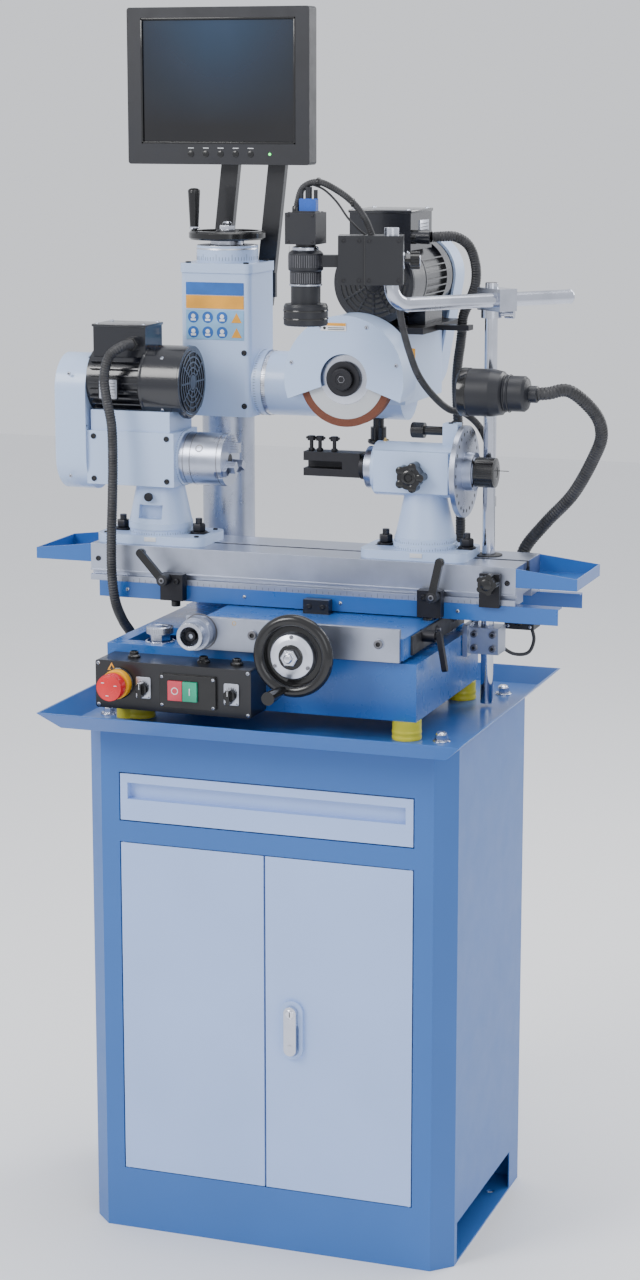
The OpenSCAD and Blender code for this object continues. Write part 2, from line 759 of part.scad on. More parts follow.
module bent_tube() {
    straight = 203 + 131 - tube_bend;
    color("silver") union() {
        // horizontal run, quarter bend and short stem
        translate(stem_p) rotate([0, 0, tube_turn]) union() {
            translate([tube_bend, 0, 0]) rod_x([0, 0, 0], straight, tube_r);
            translate([tube_bend, 0, tube_bend]) rotate([-90, 0, 0]) rotate([0, 0, 90])
                rotate_extrude(angle = 90) translate([tube_bend, 0]) circle(tube_r);
            rod_z([0, 0, tube_bend], 84, tube_r);
        }
        // cross clamp, its collar and its set knob
        difference() {
            translate([post_x, post_y, tube_z]) rotate([0, 0, tube_turn])
                block([-15, -tube_offset - 16, -17], [17, 17, 17]);
            rod_z([post_x, post_y, tube_z - 40], 80, post_r + run_gap);
        }
        difference() {
            union() {
                rod_z([post_x, post_y, tube_z - 29], 12.5, post_r + 6);
                rod_x([post_x + 12, post_y, tube_z - 23], 18, 3);
                rod_x([post_x + 22, post_y, tube_z - 23], 14, 7);
            }
            rod_z([post_x, post_y, tube_z - 40], 80, post_r + run_gap);
        }
    }
}

bracket_z = tube_z + tube_bend;
module optics_bracket() {
    color("#2A2A2E") difference() {
        translate(stem_p) rotate([0, 0, camera_turn]) union() {
            block([-78, -24, tube_bend + 1], [-39, 24, tube_bend + 73]);
            block([-38.5, -28, tube_bend + 1], [18, 28, tube_bend + 73]);
            block([-40, -15, tube_bend + 10], [-37, 15, tube_bend + 60]);
            block([-126, -9, tube_bend + 26], [-77, 9, tube_bend + 44]);
        }
        rod_z([stem_p[0], stem_p[1], bracket_z - 10], 100, tube_r);
        translate(stem_p) rotate([0, 0, camera_turn]) rod_x([10, 0, tube_bend + 36], 10, 4 + run_gap);
        camera_at() rod_z([0, 0, -200], 400, 26);
    }
}

module focus_knob() {
    color("#1E1E22") translate(stem_p) rotate([0, 0, camera_turn]) union() {
        rod_x([13, 0, tube_bend + 36], 24, 4);
        translate([28, 0, tube_bend + 36]) rotate([0, 90, 0]) union() {
            cylinder(h = 14, r = 10);
            for (a = [0 : 60 : 359]) rotate([0, 0, a]) translate([10, 0, 0]) cylinder(h = 14, r = 3);
        }
    }
}

// The camera's axis stands at the end of the bracket's rod
module camera_at() {
    translate(stem_p) rotate([0, 0, camera_turn]) translate([-127, 0, 0]) rotate([0, 0, -camera_turn])
        translate([0, 0, tube_bend]) children();
}

module camera() {
    color("#2A2A2E") camera_at() union() {
        block([-24, -24, 60], [24, 24, 106]);
        block([-14, -14, 105], [20, 6, 108]);
        rotate_extrude() polygon([[0, -60], [31, -60], [33, -58], [33, -32], [31, -28], [22, -28],
            [22, 0], [23.5, 2],
            [23.5, 20], [26, 22], [26, 46], [22, 50], [15, 52], [15, 61], [0, 61]]);
    }
    // video plug on top
    color("#1F4FB0") camera_at() {
        union() {
            block([-6, -12, 108], [20, 0, 126]);
            for (x = [-6, 16]) rod_z([x + 2, -6, 125], 14, 3);
            rod_z([7, -6, 125], 18, 5);
        }
    }
}

module camera_cable() {
    color("#2A2A2E") {
        cord_tube(smooth_route(sleeve_route, 3), 5, 10);
        cord_tube(smooth_route(wire_route, 3), 1.6, 8);
        cord_tube(smooth_route(drop_route, 3), 5.5, 10);
    }
}

// ---- left workhead ----

module left_head() {
    box_x0 = left_x - 106;
    box_x1 = left_x + 44;
    color("lightsteelblue") difference() {
        union() {
            // yoke: pivot, ring and cone under the spindle box
            rod_z([left_x, head_y, table_top], 24, 18);
            rod_z([left_x, head_y, table_top + 22 + fit_gap], 10, 52);
            translate([left_x, head_y, table_top + 31])
                cylinder(h = axis_z - table_top - 72, r1 = 51, r2 = 38);
            block([box_x0, head_y - 50, axis_z - 42], [box_x1, head_y + 50, axis_z + 44]);
            // motor foot
            block([box_x0 + 6, head_y - 46, axis_z + 43], [box_x1 - 8, head_y + 46, left_motor_z - 44]);
            // belt guard
            translate([box_x0 - 52, 0, 0]) rotate([90, 0, 90]) linear_extrude(53) guard_plan();
        }
        // spindle bore, recess in the yoke and hollow of the belt guard
        rod_x([box_x0 - 46, head_y, axis_z], 220, 16 + run_gap);
        block([left_x - 20, head_y - 60, table_top + 40], [left_x + 20, head_y - 30, table_top + 62]);
        translate([box_x0 - 47, 0, 0]) rotate([90, 0, 90]) linear_extrude(43) guard_hollow();
        rod_x([box_x0 - 6, head_y, left_motor_z], 300, 44);
    }
}
module guard_plan() {
    union() {
        translate([head_y, axis_z]) circle(56);
        translate([head_y, left_motor_z - 14]) circle(56);
        translate([head_y - 56, axis_z]) square([112, left_motor_z - 14 - axis_z]);
    }
}
module guard_hollow() {
    union() {
        translate([head_y, axis_z]) circle(51);
        translate([head_y, left_motor_z - 14]) circle(51);
        translate([head_y - 51, axis_z]) square([102, left_motor_z - 14 - axis_z]);
    }
}

// Motor body lying along an axis: shell, end bell, terminal box, gland
module left_motor() {
    x0 = left_x - 104.9;
    x1 = left_x + 56;
    color("#26262B") difference() {
        union() {
            rod_x([x0, head_y, left_motor_z], x1 - x0 - 62, 52);
            rod_x([x1 - 64, head_y, left_motor_z], 64, 58);
            block([x0 + 6, head_y - 34, left_motor_z + 40], [x0 + 96, head_y + 34, left_motor_z + 90]);
            rod_y([x0 + 77, head_y - 46, left_motor_z + 62], 14, 11);
        }
        rod_x([x0 - 1, head_y, left_motor_z], x1 - x0 - 8, 40);
        block([x0 - 1, head_y - 60, left_motor_z - 60], [x1 + 1, head_y + 60, left_motor_z - 44 + fit_gap]);
    }
}

module left_rotor() {
    x0 = left_x - 106 - 44;
    color("silver") union() {
        rod_x([x0 + 4, head_y, left_motor_z], 190, 8);
        rod_x([x0 + 60, head_y, left_motor_z], 90, 30);
        pulley_x([x0 + 6, head_y, left_motor_z], 22);
    }
}
module pulley_x(p, r) {
    translate(p) rotate([0, 90, 0]) rotate_extrude()
        polygon([[0, 0], [r + 3, 0], [r + 3, 4], [r - 3, 7], [r - 3, 15], [r + 3, 18],
            [r + 3, 22], [0, 22]]);
}

module left_belt() {
    color("#1E1E22") translate([left_x - 106 - 44 + 6 + 8, head_y, 0]) rotate([90, 0, 90]) linear_extrude(6)
        belt_loop(axis_z, 30, left_motor_z, 22);
}
// Belt round two pulleys on one vertical line: straight sides, round ends
module belt_loop(z0, r0, z1, r1) {
    difference() {
        belt_outline(z0, r0 + 1.5, z1, r1 + 1.5);
        belt_outline(z0, r0 - 2.5, z1, r1 - 2.5);
    }
}
module belt_outline(z0, r0, z1, r1) {
    s = (r0 - r1) / (z1 - z0);
    c = sqrt(1 - s * s);
    union() {
        translate([0, z0]) circle(r0);
        translate([0, z1]) circle(r1);
        polygon([[-r0 * c, z0 + r0 * s], [r0 * c, z0 + r0 * s], [r1 * c, z1 + r1 * s],
            [-r1 * c, z1 + r1 * s]]);
    }
}

module chuck() {
    x0 = left_x - 106 - 44;
    x1 = left_x + 44 + fit_gap;
    r = chuck_dia / 2;
    color("silver") {
        difference() {
            union() {
                rod_x([x0 + 4, head_y, axis_z], x1 - x0 - 2, 16);
                pulley_x([x0 + 6, head_y, axis_z], 30);
                rod_x([x1, head_y, axis_z], 11, r - 1);
                rod_x([x1 + 10, head_y, axis_z], 66, r);
            }
            rod_x([x1 + 40, head_y, axis_z], 60, 9);
            for (a = [90, 210, 330]) translate([x1 + 76, head_y, axis_z]) rotate([a, 0, 0])
                block([-12, 10, -6], [1, r + 1, 6]);
        }
        for (a = [90, 210, 330]) translate([x1 + 76, head_y, axis_z]) rotate([a, 0, 0])
            union() {
                block([-12, 12, -5.9], [6, r - 4, 5.9]);
                block([5, 12, -5.9], [17, r - 14, 5.9]);
            }
    }
}

module left_conduit() { color("#1E1E22") cord_tube(smooth_route(left_conduit_route, 3), 8, 12); }

// ---- right workhead ----

module right_head() {
    x0 = right_x - 78;
    x1 = right_x + 56;
    head_base(right_x, right_y, post_x - post_r - 4);
    color("lightsteelblue") difference() {
        union() {
            rod_z([right_x, right_y, table_top], 24, 19);
            rod_z([right_x, right_y, table_top + 21], 11, 48);
            translate([right_x, right_y, table_top + 31])
                cylinder(h = axis_z - table_top - 60, r1 = 47, r2 = 31);
            rod_x([x0, right_y, axis_z], x1 - x0, 42);
            block([x0 + 6, right_y - 42, axis_z - 32], [x1 - 8, right_y + 36, axis_z + 32]);
            // bracket of the index pin
            block([x1 - 26, right_y - 12, axis_z + 38], [x1 - 2, right_y + 12, axis_z + 74]);
        }
        rod_x([x0 - 1, right_y, axis_z], x1 - x0 + 2, 18 + run_gap);
        rod_y([right_x - 8, right_y - 43, axis_z - 5], 16, 6 + run_gap);
        rod_x([x1 - 30, right_y, axis_z + 61], 30, 7 + run_gap);
    }
}

module index_spindle() {
    x0 = right_x - 78;
    x1 = right_x + 56 + fit_gap;
    color("silver") difference() {
        union() {
            rod_x([x0 - 14, right_y, axis_z], 14 - fit_gap, 33);
            rod_x([x0 - 14, right_y, axis_z], x1 - x0 + 60, 18);
            rod_x([x1 + 2, right_y, axis_z], 8, index_dia / 2);
            rod_x([x1 + 10, right_y, axis_z], 14, 30);
            rod_x([x1 + 24, right_y, axis_z], 32, 23);
        }
        for (a = [0 : 15 : 359]) rotate_about_x(a, right_y, axis_z)
            rod_x([x1 + 1, right_y, axis_z + 61], 10, 2.6);
    }
}
module rotate_about_x(a, y, z) { translate([0, y, z]) rotate([a, 0, 0]) translate([0, -y, -z]) children(); }

module tool_holder() {
    x1 = right_x - 78 - 14;
    color("#26262B") union() {
        rod_x([x1 - 12, right_y, axis_z], 12, 20);
        difference() {
            block([x1 - 104, right_y - 16, axis_z - 16], [x1 - 11, right_y + 16, axis_z + 22]);
            block([x1 - 105, right_y - 17, axis_z - 4], [x1 - 40, right_y + 6, axis_z + 8]);
        }
        for (x = [-96, -82, -58]) union() {
            rod_z([x1 + x, right_y, axis_z + 8], 34, 3);
            rod_z([x1 + x, right_y, axis_z + 38], 7, 6);
        }
    }
}

module head_clamp_knob() {
    color("#1E1E22") union() {
        rod_y([right_x - 8, right_y - 54, axis_z - 5], 26, 6);
        star_knob_y([right_x - 8, right_y - 42 - fit_gap, axis_z - 5], 24, 22);
    }
}

module index_pin() {
    x1 = right_x + 56;
    color("#26262B") union() {
        rod_x([x1 - 60, right_y, axis_z + 61], 55, 7);
        rod_x([x1 - 6, right_y, axis_z + 61], 7, 2.5);
        rod_x([x1 - 78, right_y, axis_z + 61], 20, 12);
    }
}

// ---- tower ----

module tower() {
    h = tower_w / 2;
    color("lightsteelblue") difference() {
        union() {
            round_box([col_x - h, col_y - h + 4, tower_z], [col_x + h, col_y + h - 4, tower_top - 14], 10);
            round_box([col_x - h - 2, col_y - h + 2, tower_top - 15],
                [col_x + h + 2, col_y + h - 2, tower_top], 12);
            rod_z([col_x, col_y, tower_top - 1], 28, 50);
            rod_x([col_x + h - 1, col_y, arm_z], 15, arm_r + 1);
        }
        rod_z([col_x, col_y, tower_z - 1], tower_h - 31, col_r + run_gap);
        rod_z([col_x, col_y, tower_z], tower_h + 60, screw_r + 2 + run_gap);
        rod_x([col_x + h - 12, col_y, arm_z], 40, 25 + run_gap);
    }
}

module lift_handwheel() {
    r = handwheel_dia / 2;
    z0 = tower_top + 27 + fit_gap;
    color("#1E1E22") union() {
        rod_z([col_x, col_y, z0], 8, 27);
        translate([col_x, col_y, z0 + 7]) union() {
            rotate_extrude() union() {
                polygon([[r - 11, 2], [r - 3, 2], [r, 5], [r, 13], [r - 3, 16], [r - 11, 16]]);
                polygon([[0, 0], [20, 0], [r - 11, 6], [r - 11, 12], [0, 14]]);
            }
            translate([0, 0, 13]) hex_z([0, 0, 0], 8, 11);
            rod_z([0, 0, 20], 8, 8);
            rotate([0, 0, 199]) union() {
                rod_z([r - 9, 0, 10], 14, 5);
                translate([r - 9, 0, 20]) cylinder(h = 60, r1 = 7, r2 = 10);
            }
        }
        rod_z([col_x, col_y, tower_z + 34], z0 - tower_z - 33, screw_r + 2);
    }
}

arm_lean = 6.5;
monitor_w = 316;
monitor_h = 250;
monitor_c = [-235, 222, tower_top + 280];
bar_y = col_y + tower_w / 2 + 4;
pivot_y = bar_y + 7;
pivot_z = tower_top + 282;
module monitor_arms() {
    color("#1E1E22") {
        for (x = [-250, -168]) union() {
            difference() {
                translate([x, bar_y, tower_top - 4]) rotate([0, arm_lean, 0]) block([-15, 0, -70],
                    [15, 14, 300]);
                rod_x([x, pivot_y, pivot_z], 60, 4 + run_gap);
            }
        }
        block([-270, bar_y - 8, tower_top - 60], [-150, bar_y, tower_top - 20]);
    }
}

module monitor() {
    x0 = monitor_c[0] - monitor_w / 2;
    z0 = monitor_c[2] - monitor_h / 2;
    t = 34;
    color("#2A2A2E") {
        union() {
            difference() {
                face_plate(x0, x0 + monitor_w, z0, z0 + monitor_h, monitor_c[1], t, 5);
                block([x0 + 26, monitor_c[1] - 1, z0 + 36],
                    [x0 + monitor_w - 26, monitor_c[1] + 4, z0 + monitor_h - 20]);
            }
            block([x0 + 60, monitor_c[1] + t - 1, z0 + 40],
                [x0 + monitor_w - 60, monitor_c[1] + t + 4, z0 + monitor_h - 50]);
            // lug and pin between the two bars
            block([-199, monitor_c[1] + t + 3, pivot_z - 14], [-155, pivot_y + 8, pivot_z + 14]);
            rod_x([-240, pivot_y, pivot_z], 128, 4);
        }
    }
}

module head_conduit() { color("#1E1E22") cord_tube(smooth_route(head_conduit_route, 3), 8, 12); }

// ---- grinding head ----

head_rear = 292;
module tilt_arm() {
    x0 = col_x + tower_w / 2 + 14 + fit_gap;
    color("lightsteelblue") difference() {
        union() {
            rod_x([x0 - 22, col_y, arm_z], 24, 25);
            rod_x([x0, col_y, arm_z], 100 - x0, arm_r);
            // spindle housing across the arm
            rod_y([spindle_x, 68, wheel_z], head_rear - 68, 50);
            block([spindle_x - 50, 96, wheel_z - 48], [spindle_x + 70, head_rear, wheel_z + 64]);
            // front boss of the arm
            rod_y([-78, col_y - arm_r - 12, arm_z + 6], 40, 14);
        }
        rod_y([spindle_x, 60, wheel_z], 250, 20 + run_gap);
    }
    // motor plate with the conduit's clip arm
    color("#1E1E22") difference() {
        union() {
            block([motor_x - 68, 84, wheel_z + 64], [motor_x + 76, head_rear - 6, wheel_z + 74]);
            block([motor_x + 75, 150, wheel_z + 66], [motor_x + 130, 176, wheel_z + 74]);
        }
        rod_z([196, 172, wheel_z + 60], 20, 9.5);
    }
    color("#1E1E22") {
        // lock knob under the arm and lever in front
        union() {
            rod_z([48, col_y, arm_z - arm_r - 14], 16, 9);
            rod_z([48, col_y, arm_z - arm_r - 40], 27, 13);
        }
    }
}

module wheel_guard() {
    y0 = 2;
    depth = 66;
    lip = 3;
    color("lightsteelblue") difference() {
        union() {
            rod_y([spindle_x, y0, wheel_z], depth, guard_r);
        }
        rod_y([spindle_x, y0 + lip, wheel_z], depth - 2 * lip, guard_r - 3);
        // the lower part is open, between two slanted edges
        translate([spindle_x, y0 - 1, wheel_z]) rotate([-90, 0, 0]) linear_extrude(depth + 2)
            polygon([[0, 0], [120, 44], [300, 300], [-300, 300], [-120, 44]]);
        rod_y([spindle_x, y0 - 1, wheel_z], lip + 2, 38);
        rod_y([spindle_x, y0 + depth - lip - 1, wheel_z], lip + 2, 30);
    }
}

module grinding_motor() {
    y0 = 70;
    foot_z = wheel_z + 74;
    color("#C9CFD8") difference() {
        union() {
            rod_y([motor_x, y0, motor_z], 70, 65);
            rod_y([motor_x, y0 + 69, motor_z], 130, 58);
            rod_y([motor_x, y0 + 180, motor_z], 30, 64);
            block([motor_x - 52, y0 + 36, motor_z + 48], [motor_x + 48, y0 + 146, motor_z + 108]);
            rod_x([motor_x + 47, 118, motor_z + 69], 30, 11);
            for (s = [-1, 1]) block([motor_x + s * 45 - 14, y0 + 80, foot_z],
                [motor_x + s * 45 + 14, y0 + 170, foot_z + 34]);
        }
        rod_y([motor_x, y0 + 8, motor_z], 230, 44);
        rod_x([motor_x + 60, 118, motor_z + 69], 30, 8);
    }
}

module belt_cover() {
    y0 = head_rear + fit_gap;
    t = 50;
    color("lightsteelblue") difference() {
        translate([0, y0 + t, 0]) rotate([90, 0, 0]) linear_extrude(t) cover_plan(66);
        translate([0, y0 + t - 4, 0]) rotate([90, 0, 0]) linear_extrude(t - 3) cover_plan(62);
    }
}
module cover_plan(r) {
    dx = motor_x - spindle_x;
    dz = motor_z - wheel_z;
    l = norm([dx, dz]);
    n = [dz, -dx] / l;
    union() {
        translate([spindle_x, wheel_z]) circle(r);
        translate([motor_x, motor_z]) circle(r);
        polygon([[spindle_x, wheel_z] - n * r, [spindle_x, wheel_z] + n * r, [motor_x,
            motor_z] + n * r, [motor_x, motor_z] - n * r]);
    }
}

module drive_belt() {
    dx = motor_x - spindle_x;
    dz = motor_z - wheel_z;
    color("#1E1E22") translate([spindle_x, head_rear + 26, wheel_z]) rotate([0, atan2(dx, dz), 0])
        rotate([90, 0, 0]) linear_extrude(8) belt_loop(0, 24, norm([dx, dz]), 40);
}

module pulley_y(p, r) {
    translate(p) rotate([-90, 0, 0]) rotate_extrude()
        polygon([[0, 0], [r + 4, 0], [r + 4, 5], [r - 4, 9], [r - 4, 19], [r + 4, 23],
            [r + 4, 28], [0, 28]]);
}

module grinding_spindle() {
    color("silver") union() {
        rod_y([spindle_x, 34, wheel_z], head_rear - 34 + 40, 20);
        rod_y([spindle_x, -2, wheel_z], 40, 10);
        pulley_y([spindle_x, head_rear + 8, wheel_z], 24);
        // flange and nut that hold the wheel
        rod_y([spindle_x, wheel_y + wheel_t / 2, wheel_z], 6, 30);
        rod_y([spindle_x, wheel_y - wheel_t / 2 - 12, wheel_z], 12, 27);
        rod_y([spindle_x, wheel_y - wheel_t / 2 - 20, wheel_z], 10, 17);
    }
}

module grinding_wheel() {
    color("#7A4038") difference() {
        rod_y([spindle_x, wheel_y - wheel_t / 2, wheel_z], wheel_t, wheel_r);
        rod_y([spindle_x, wheel_y - wheel_t / 2 - 1, wheel_z], wheel_t + 2, 10);
    }
}

module main_rotor() {
    color("silver") union() {
        rod_y([motor_x, 90, motor_z], head_rear - 90 + 40, 10);
        rod_y([motor_x, 120, motor_z], 100, 36);
        pulley_y([motor_x, head_rear + 8, motor_z], 40);
    }
}

module motor_conduit() { color("#1E1E22") cord_tube(smooth_route(motor_conduit_route, 3), 8, 12); }

cabinet_shell();
tray();
base_casting();
feet_and_bolts();
column();
control_box();
drawer();
left_door();
right_door();
door_handle();
estop_button();
on_button();
off_button();
selector_left();
selector_right();
saddle();
saddle_plate();
saddle_lock();
cross_handwheel();
table_knob();
table();
table_guards();
table_stops();
post_clamp();
left_base();
lamp();
left_stop_lever();
right_stop_lever();
table_clamp_knob();
camera_post();
bent_tube();
optics_bracket();
focus_knob();
camera();
camera_cable();
left_head();
left_motor();
left_belt();
left_rotor();
chuck();
left_conduit();
right_head();
index_spindle();
tool_holder();
head_clamp_knob();
index_pin();
tower();
lift_handwheel();
monitor_arms();
monitor();
head_conduit();
tilt_arm();
wheel_guard();
grinding_motor();
belt_cover();
drive_belt();
grinding_spindle();
grinding_wheel();
main_rotor();
motor_conduit();
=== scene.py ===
import math

import bmesh
import bpy
from mathutils import Matrix, Vector


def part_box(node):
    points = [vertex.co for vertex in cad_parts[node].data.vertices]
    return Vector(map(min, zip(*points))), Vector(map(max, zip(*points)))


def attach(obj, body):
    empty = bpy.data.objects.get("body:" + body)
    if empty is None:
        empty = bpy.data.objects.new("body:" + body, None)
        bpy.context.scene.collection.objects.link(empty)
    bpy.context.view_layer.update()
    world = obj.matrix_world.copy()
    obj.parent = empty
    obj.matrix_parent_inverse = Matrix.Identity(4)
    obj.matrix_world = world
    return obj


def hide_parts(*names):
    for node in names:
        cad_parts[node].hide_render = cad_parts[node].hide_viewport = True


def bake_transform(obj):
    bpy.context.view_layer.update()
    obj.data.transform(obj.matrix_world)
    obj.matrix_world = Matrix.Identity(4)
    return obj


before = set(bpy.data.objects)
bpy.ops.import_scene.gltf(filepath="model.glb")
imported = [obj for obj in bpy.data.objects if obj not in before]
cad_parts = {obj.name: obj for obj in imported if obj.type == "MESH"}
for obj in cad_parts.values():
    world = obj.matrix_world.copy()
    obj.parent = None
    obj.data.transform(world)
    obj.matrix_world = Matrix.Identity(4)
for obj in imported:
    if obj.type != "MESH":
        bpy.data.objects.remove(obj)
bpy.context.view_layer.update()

MM = 0.001
X, Y, Z = Vector((1, 0, 0)), Vector((0, 1, 0)), Vector((0, 0, 1))


def extent(node):
    """Lowest and highest corner of a CAD node, in millimetres."""
    low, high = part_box(node)
    return Vector(low) / MM, Vector(high) / MM


# ---- camera, light and floor ----

def set_camera():
    azimuth, elevation = math.radians(19.5), math.radians(11.53)
    data = bpy.data.cameras.new("camera_view")
    data.lens = 74.9
    data.sensor_width = 36
    camera = bpy.data.objects.new("camera_view", data)
    bpy.context.scene.collection.objects.link(camera)
    camera.location = (1.3886, -3.8659, 1.775)
    look = Vector((-math.sin(azimuth) * math.cos(elevation), math.cos(azimuth) * math.cos(elevation),
                   -math.sin(elevation)))
    camera.rotation_euler = look.to_track_quat("-Z", "Y").to_euler()
    bpy.context.scene.camera = camera


def area_light(name, place, aim, size, power, tint=(1, 1, 1)):
    data = bpy.data.lights.new(name, "AREA")
    data.shape = "RECTANGLE"
    data.size, data.size_y = size
    data.energy = power
    data.color = tint
    light = bpy.data.objects.new(name, data)
    bpy.context.scene.collection.objects.link(light)
    light.location = place
    light.rotation_euler = (Vector(aim) - Vector(place)).to_track_quat("-Z", "Y").to_euler()


def set_world(brightness):
    world = bpy.data.worlds.new("studio")
    world.use_nodes = True
    bpy.context.scene.world = world
    world.node_tree.nodes["Background"].inputs["Color"].default_value = (0.93, 0.95, 1.0, 1)
    world.node_tree.nodes["Background"].inputs["Strength"].default_value = brightness


# ---- procedural surfaces ----

class Shade:
    """A material's node tree with short names for the nodes used here."""

    def __init__(self, name):
        self.material = bpy.data.materials.new(name)
        self.material.use_nodes = True
        self.tree = self.material.node_tree
        self.tree.nodes.clear()
        self.out = self.tree.nodes.new("ShaderNodeOutputMaterial")
        self.place = self.tree.nodes.new("ShaderNodeTexCoord").outputs["Object"]

    def set(self, socket, value):
        if isinstance(value, bpy.types.NodeSocket):
            self.tree.links.new(value, socket)
        elif isinstance(value, tuple) and len(value) == 3 and socket.type == "RGBA":
            socket.default_value = (*value, 1)
        else:
            socket.default_value = value

    def math(self, operation, first, second=0.0, clamp=False):
        node = self.tree.nodes.new("ShaderNodeMath")
        node.operation = operation
        node.use_clamp = clamp
        self.set(node.inputs[0], first)
        self.set(node.inputs[1], second)
        return node.outputs[0]

    def stretched(self, scale):
        node = self.tree.nodes.new("ShaderNodeMapping")
        self.set(node.inputs["Vector"], self.place)
        node.inputs["Scale"].default_value = scale
        return node.outputs[0]

    def noise(self, scale, detail=3.0, rough=0.5, vector=None):
        node = self.tree.nodes.new("ShaderNodeTexNoise")
        self.set(node.inputs["Vector"], vector or self.place)
        node.inputs["Scale"].default_value = scale
        node.inputs["Detail"].default_value = detail
        node.inputs["Roughness"].default_value = rough
        return node.outputs["Fac"]

    def cells(self, scale, vector=None):
        node = self.tree.nodes.new("ShaderNodeTexVoronoi")
        self.set(node.inputs["Vector"], vector or self.place)
        node.inputs["Scale"].default_value = scale
        return node.outputs["Distance"]

    def fit(self, value, low, high, to_low=0.0, to_high=1.0):
        node = self.tree.nodes.new("ShaderNodeMapRange")
        self.set(node.inputs["Value"], value)
        node.inputs["From Min"].default_value = low
        node.inputs["From Max"].default_value = high
        node.inputs["To Min"].default_value = to_low
        node.inputs["To Max"].default_value = to_high
        return node.outputs["Result"]

    def mix(self, factor, first, second):
        node = self.tree.nodes.new("ShaderNodeMix")
        node.data_type = "RGBA"
        self.set(node.inputs["Factor"], factor)
        self.set(node.inputs[6], first)
        self.set(node.inputs[7], second)
        return node.outputs[2]

    def bump(self, height, strength, distance=0.0005):
        node = self.tree.nodes.new("ShaderNodeBump")
        self.set(node.inputs["Height"], height)
        node.inputs["Strength"].default_value = strength
        node.inputs["Distance"].default_value = distance
        self.set(node.inputs["Normal"], self.soft_edge(0.0007))
        return node.outputs["Normal"]

    def soft_edge(self, radius):
        node = self.tree.nodes.new("ShaderNodeBevel")
        node.samples = 4
        node.inputs["Radius"].default_value = radius
        return node.outputs["Normal"]

    def edge(self, radius=0.0014):
        """1 on a sharp edge, 0 on a flat face."""
        dot = self.tree.nodes.new("ShaderNodeVectorMath")
        dot.operation = "DOT_PRODUCT"
        self.set(dot.inputs[0], self.soft_edge(radius))
        face = self.tree.nodes.new("ShaderNodeNewGeometry")
        self.set(dot.inputs[1], face.outputs["True Normal"])
        return self.fit(dot.outputs["Value"], 0.985, 0.86)

    def inside(self, low, high):
        """1 within a box in the row frame, in millimetres."""
        parts = self.tree.nodes.new("ShaderNodeSeparateXYZ")
        self.set(parts.inputs[0], self.place)
        total = None
        for axis in range(3):
            above = self.math("GREATER_THAN", parts.outputs[axis], low[axis] * MM)
            below = self.math("LESS_THAN", parts.outputs[axis], high[axis] * MM)
            both = self.math("MULTIPLY", above, below)
            total = both if total is None else self.math("MULTIPLY", total, both)
        return total

    def surface(self, **values):
        node = self.tree.nodes.new("ShaderNodeBsdfPrincipled")
        for name, value in values.items():
            self.set(node.inputs[name.replace("_", " ")], value)
        return node.outputs["BSDF"]


def shade_of(colour, factor):
    return tuple(min(1.0, c * factor) for c in colour)


def paint(colour, rough=0.32, coat=0.35, peel=0.12, wear=0.5):
    """Sprayed enamel with orange peel, worn a little along its edges."""
    def build(s):
        drift = s.noise(5, 2)
        tone = s.mix(drift, shade_of(colour, 0.9), shade_of(colour, 1.08))
        worn = s.math("MULTIPLY", s.edge(), s.fit(s.noise(130, 5, 0.7), 0.45, 0.62), True)
        tone = s.mix(s.math("MULTIPLY", worn, wear), tone, shade_of(colour, 1.9))
        dust = s.fit(s.noise(22, 6, 0.6), 0.3, 0.8, rough - 0.03, rough + 0.05)
        return s.surface(Base_Color=tone, Roughness=dust, Coat_Weight=coat, Coat_Roughness=0.12,
                         Normal=s.bump(s.noise(420, 2), peel))
    return build


def cast(colour, rough=0.42):
    """Thick enamel over a casting: a slow wave under a fine grain."""
    def build(s):
        tone = s.mix(s.noise(9, 3), shade_of(colour, 0.9), shade_of(colour, 1.06))
        worn = s.math("MULTIPLY", s.edge(), s.fit(s.noise(90, 5, 0.7), 0.42, 0.6), True)
        tone = s.mix(s.math("MULTIPLY", worn, 0.5), tone, shade_of(colour, 1.6))
        height = s.math("ADD", s.noise(75, 3), s.math("MULTIPLY", s.noise(600, 2), 0.25))
        return s.surface(Base_Color=tone,
                         Roughness=s.fit(s.noise(30, 4), 0.3, 0.7, rough - 0.04, rough + 0.05),
                         Coat_Weight=0.25, Coat_Roughness=0.2, Normal=s.bump(height, 0.22, 0.0012))
    return build


def metal(colour, rough=0.28, grain=(2, 300, 300), strength=0.08, wear=0.2):
    """Machined metal: fine lines along one direction, smears in the polish."""
    def build(s):
        lines = s.noise(4, 4, 0.6, s.stretched(grain))
        smear = s.noise(14, 5, 0.6)
        tone = s.mix(s.fit(smear, 0.35, 0.7), shade_of(colour, 0.86), shade_of(colour, 1.05))
        tone = s.mix(s.math("MULTIPLY", s.edge(0.0008), wear), tone, shade_of(colour, 1.4))
        spread = s.math("ADD", s.fit(smear, 0.3, 0.7, rough - 0.06, rough + 0.08),
                        s.math("MULTIPLY", lines, 0.06))
        return s.surface(Base_Color=tone, Metallic=1.0, Roughness=spread,
                         Normal=s.bump(lines, strength, 0.0003))
    return build


def plastic(colour, rough=0.4, grain=0.12, scale=900):
    """Moulded plastic with a fine grain, a little polished by hands."""
    def build(s):
        rubbed = s.fit(s.noise(25, 4), 0.35, 0.7)
        tone = s.mix(rubbed, shade_of(colour, 0.85), shade_of(colour, 1.15))
        tone = s.mix(s.math("MULTIPLY", s.edge(), 0.35), tone, tuple(c + 0.03 for c in colour))
        return s.surface(Base_Color=tone, Roughness=s.fit(rubbed, 0, 1, rough + 0.08, rough - 0.08),
                         Normal=s.bump(s.noise(scale, 2), grain, 0.0003))
    return build


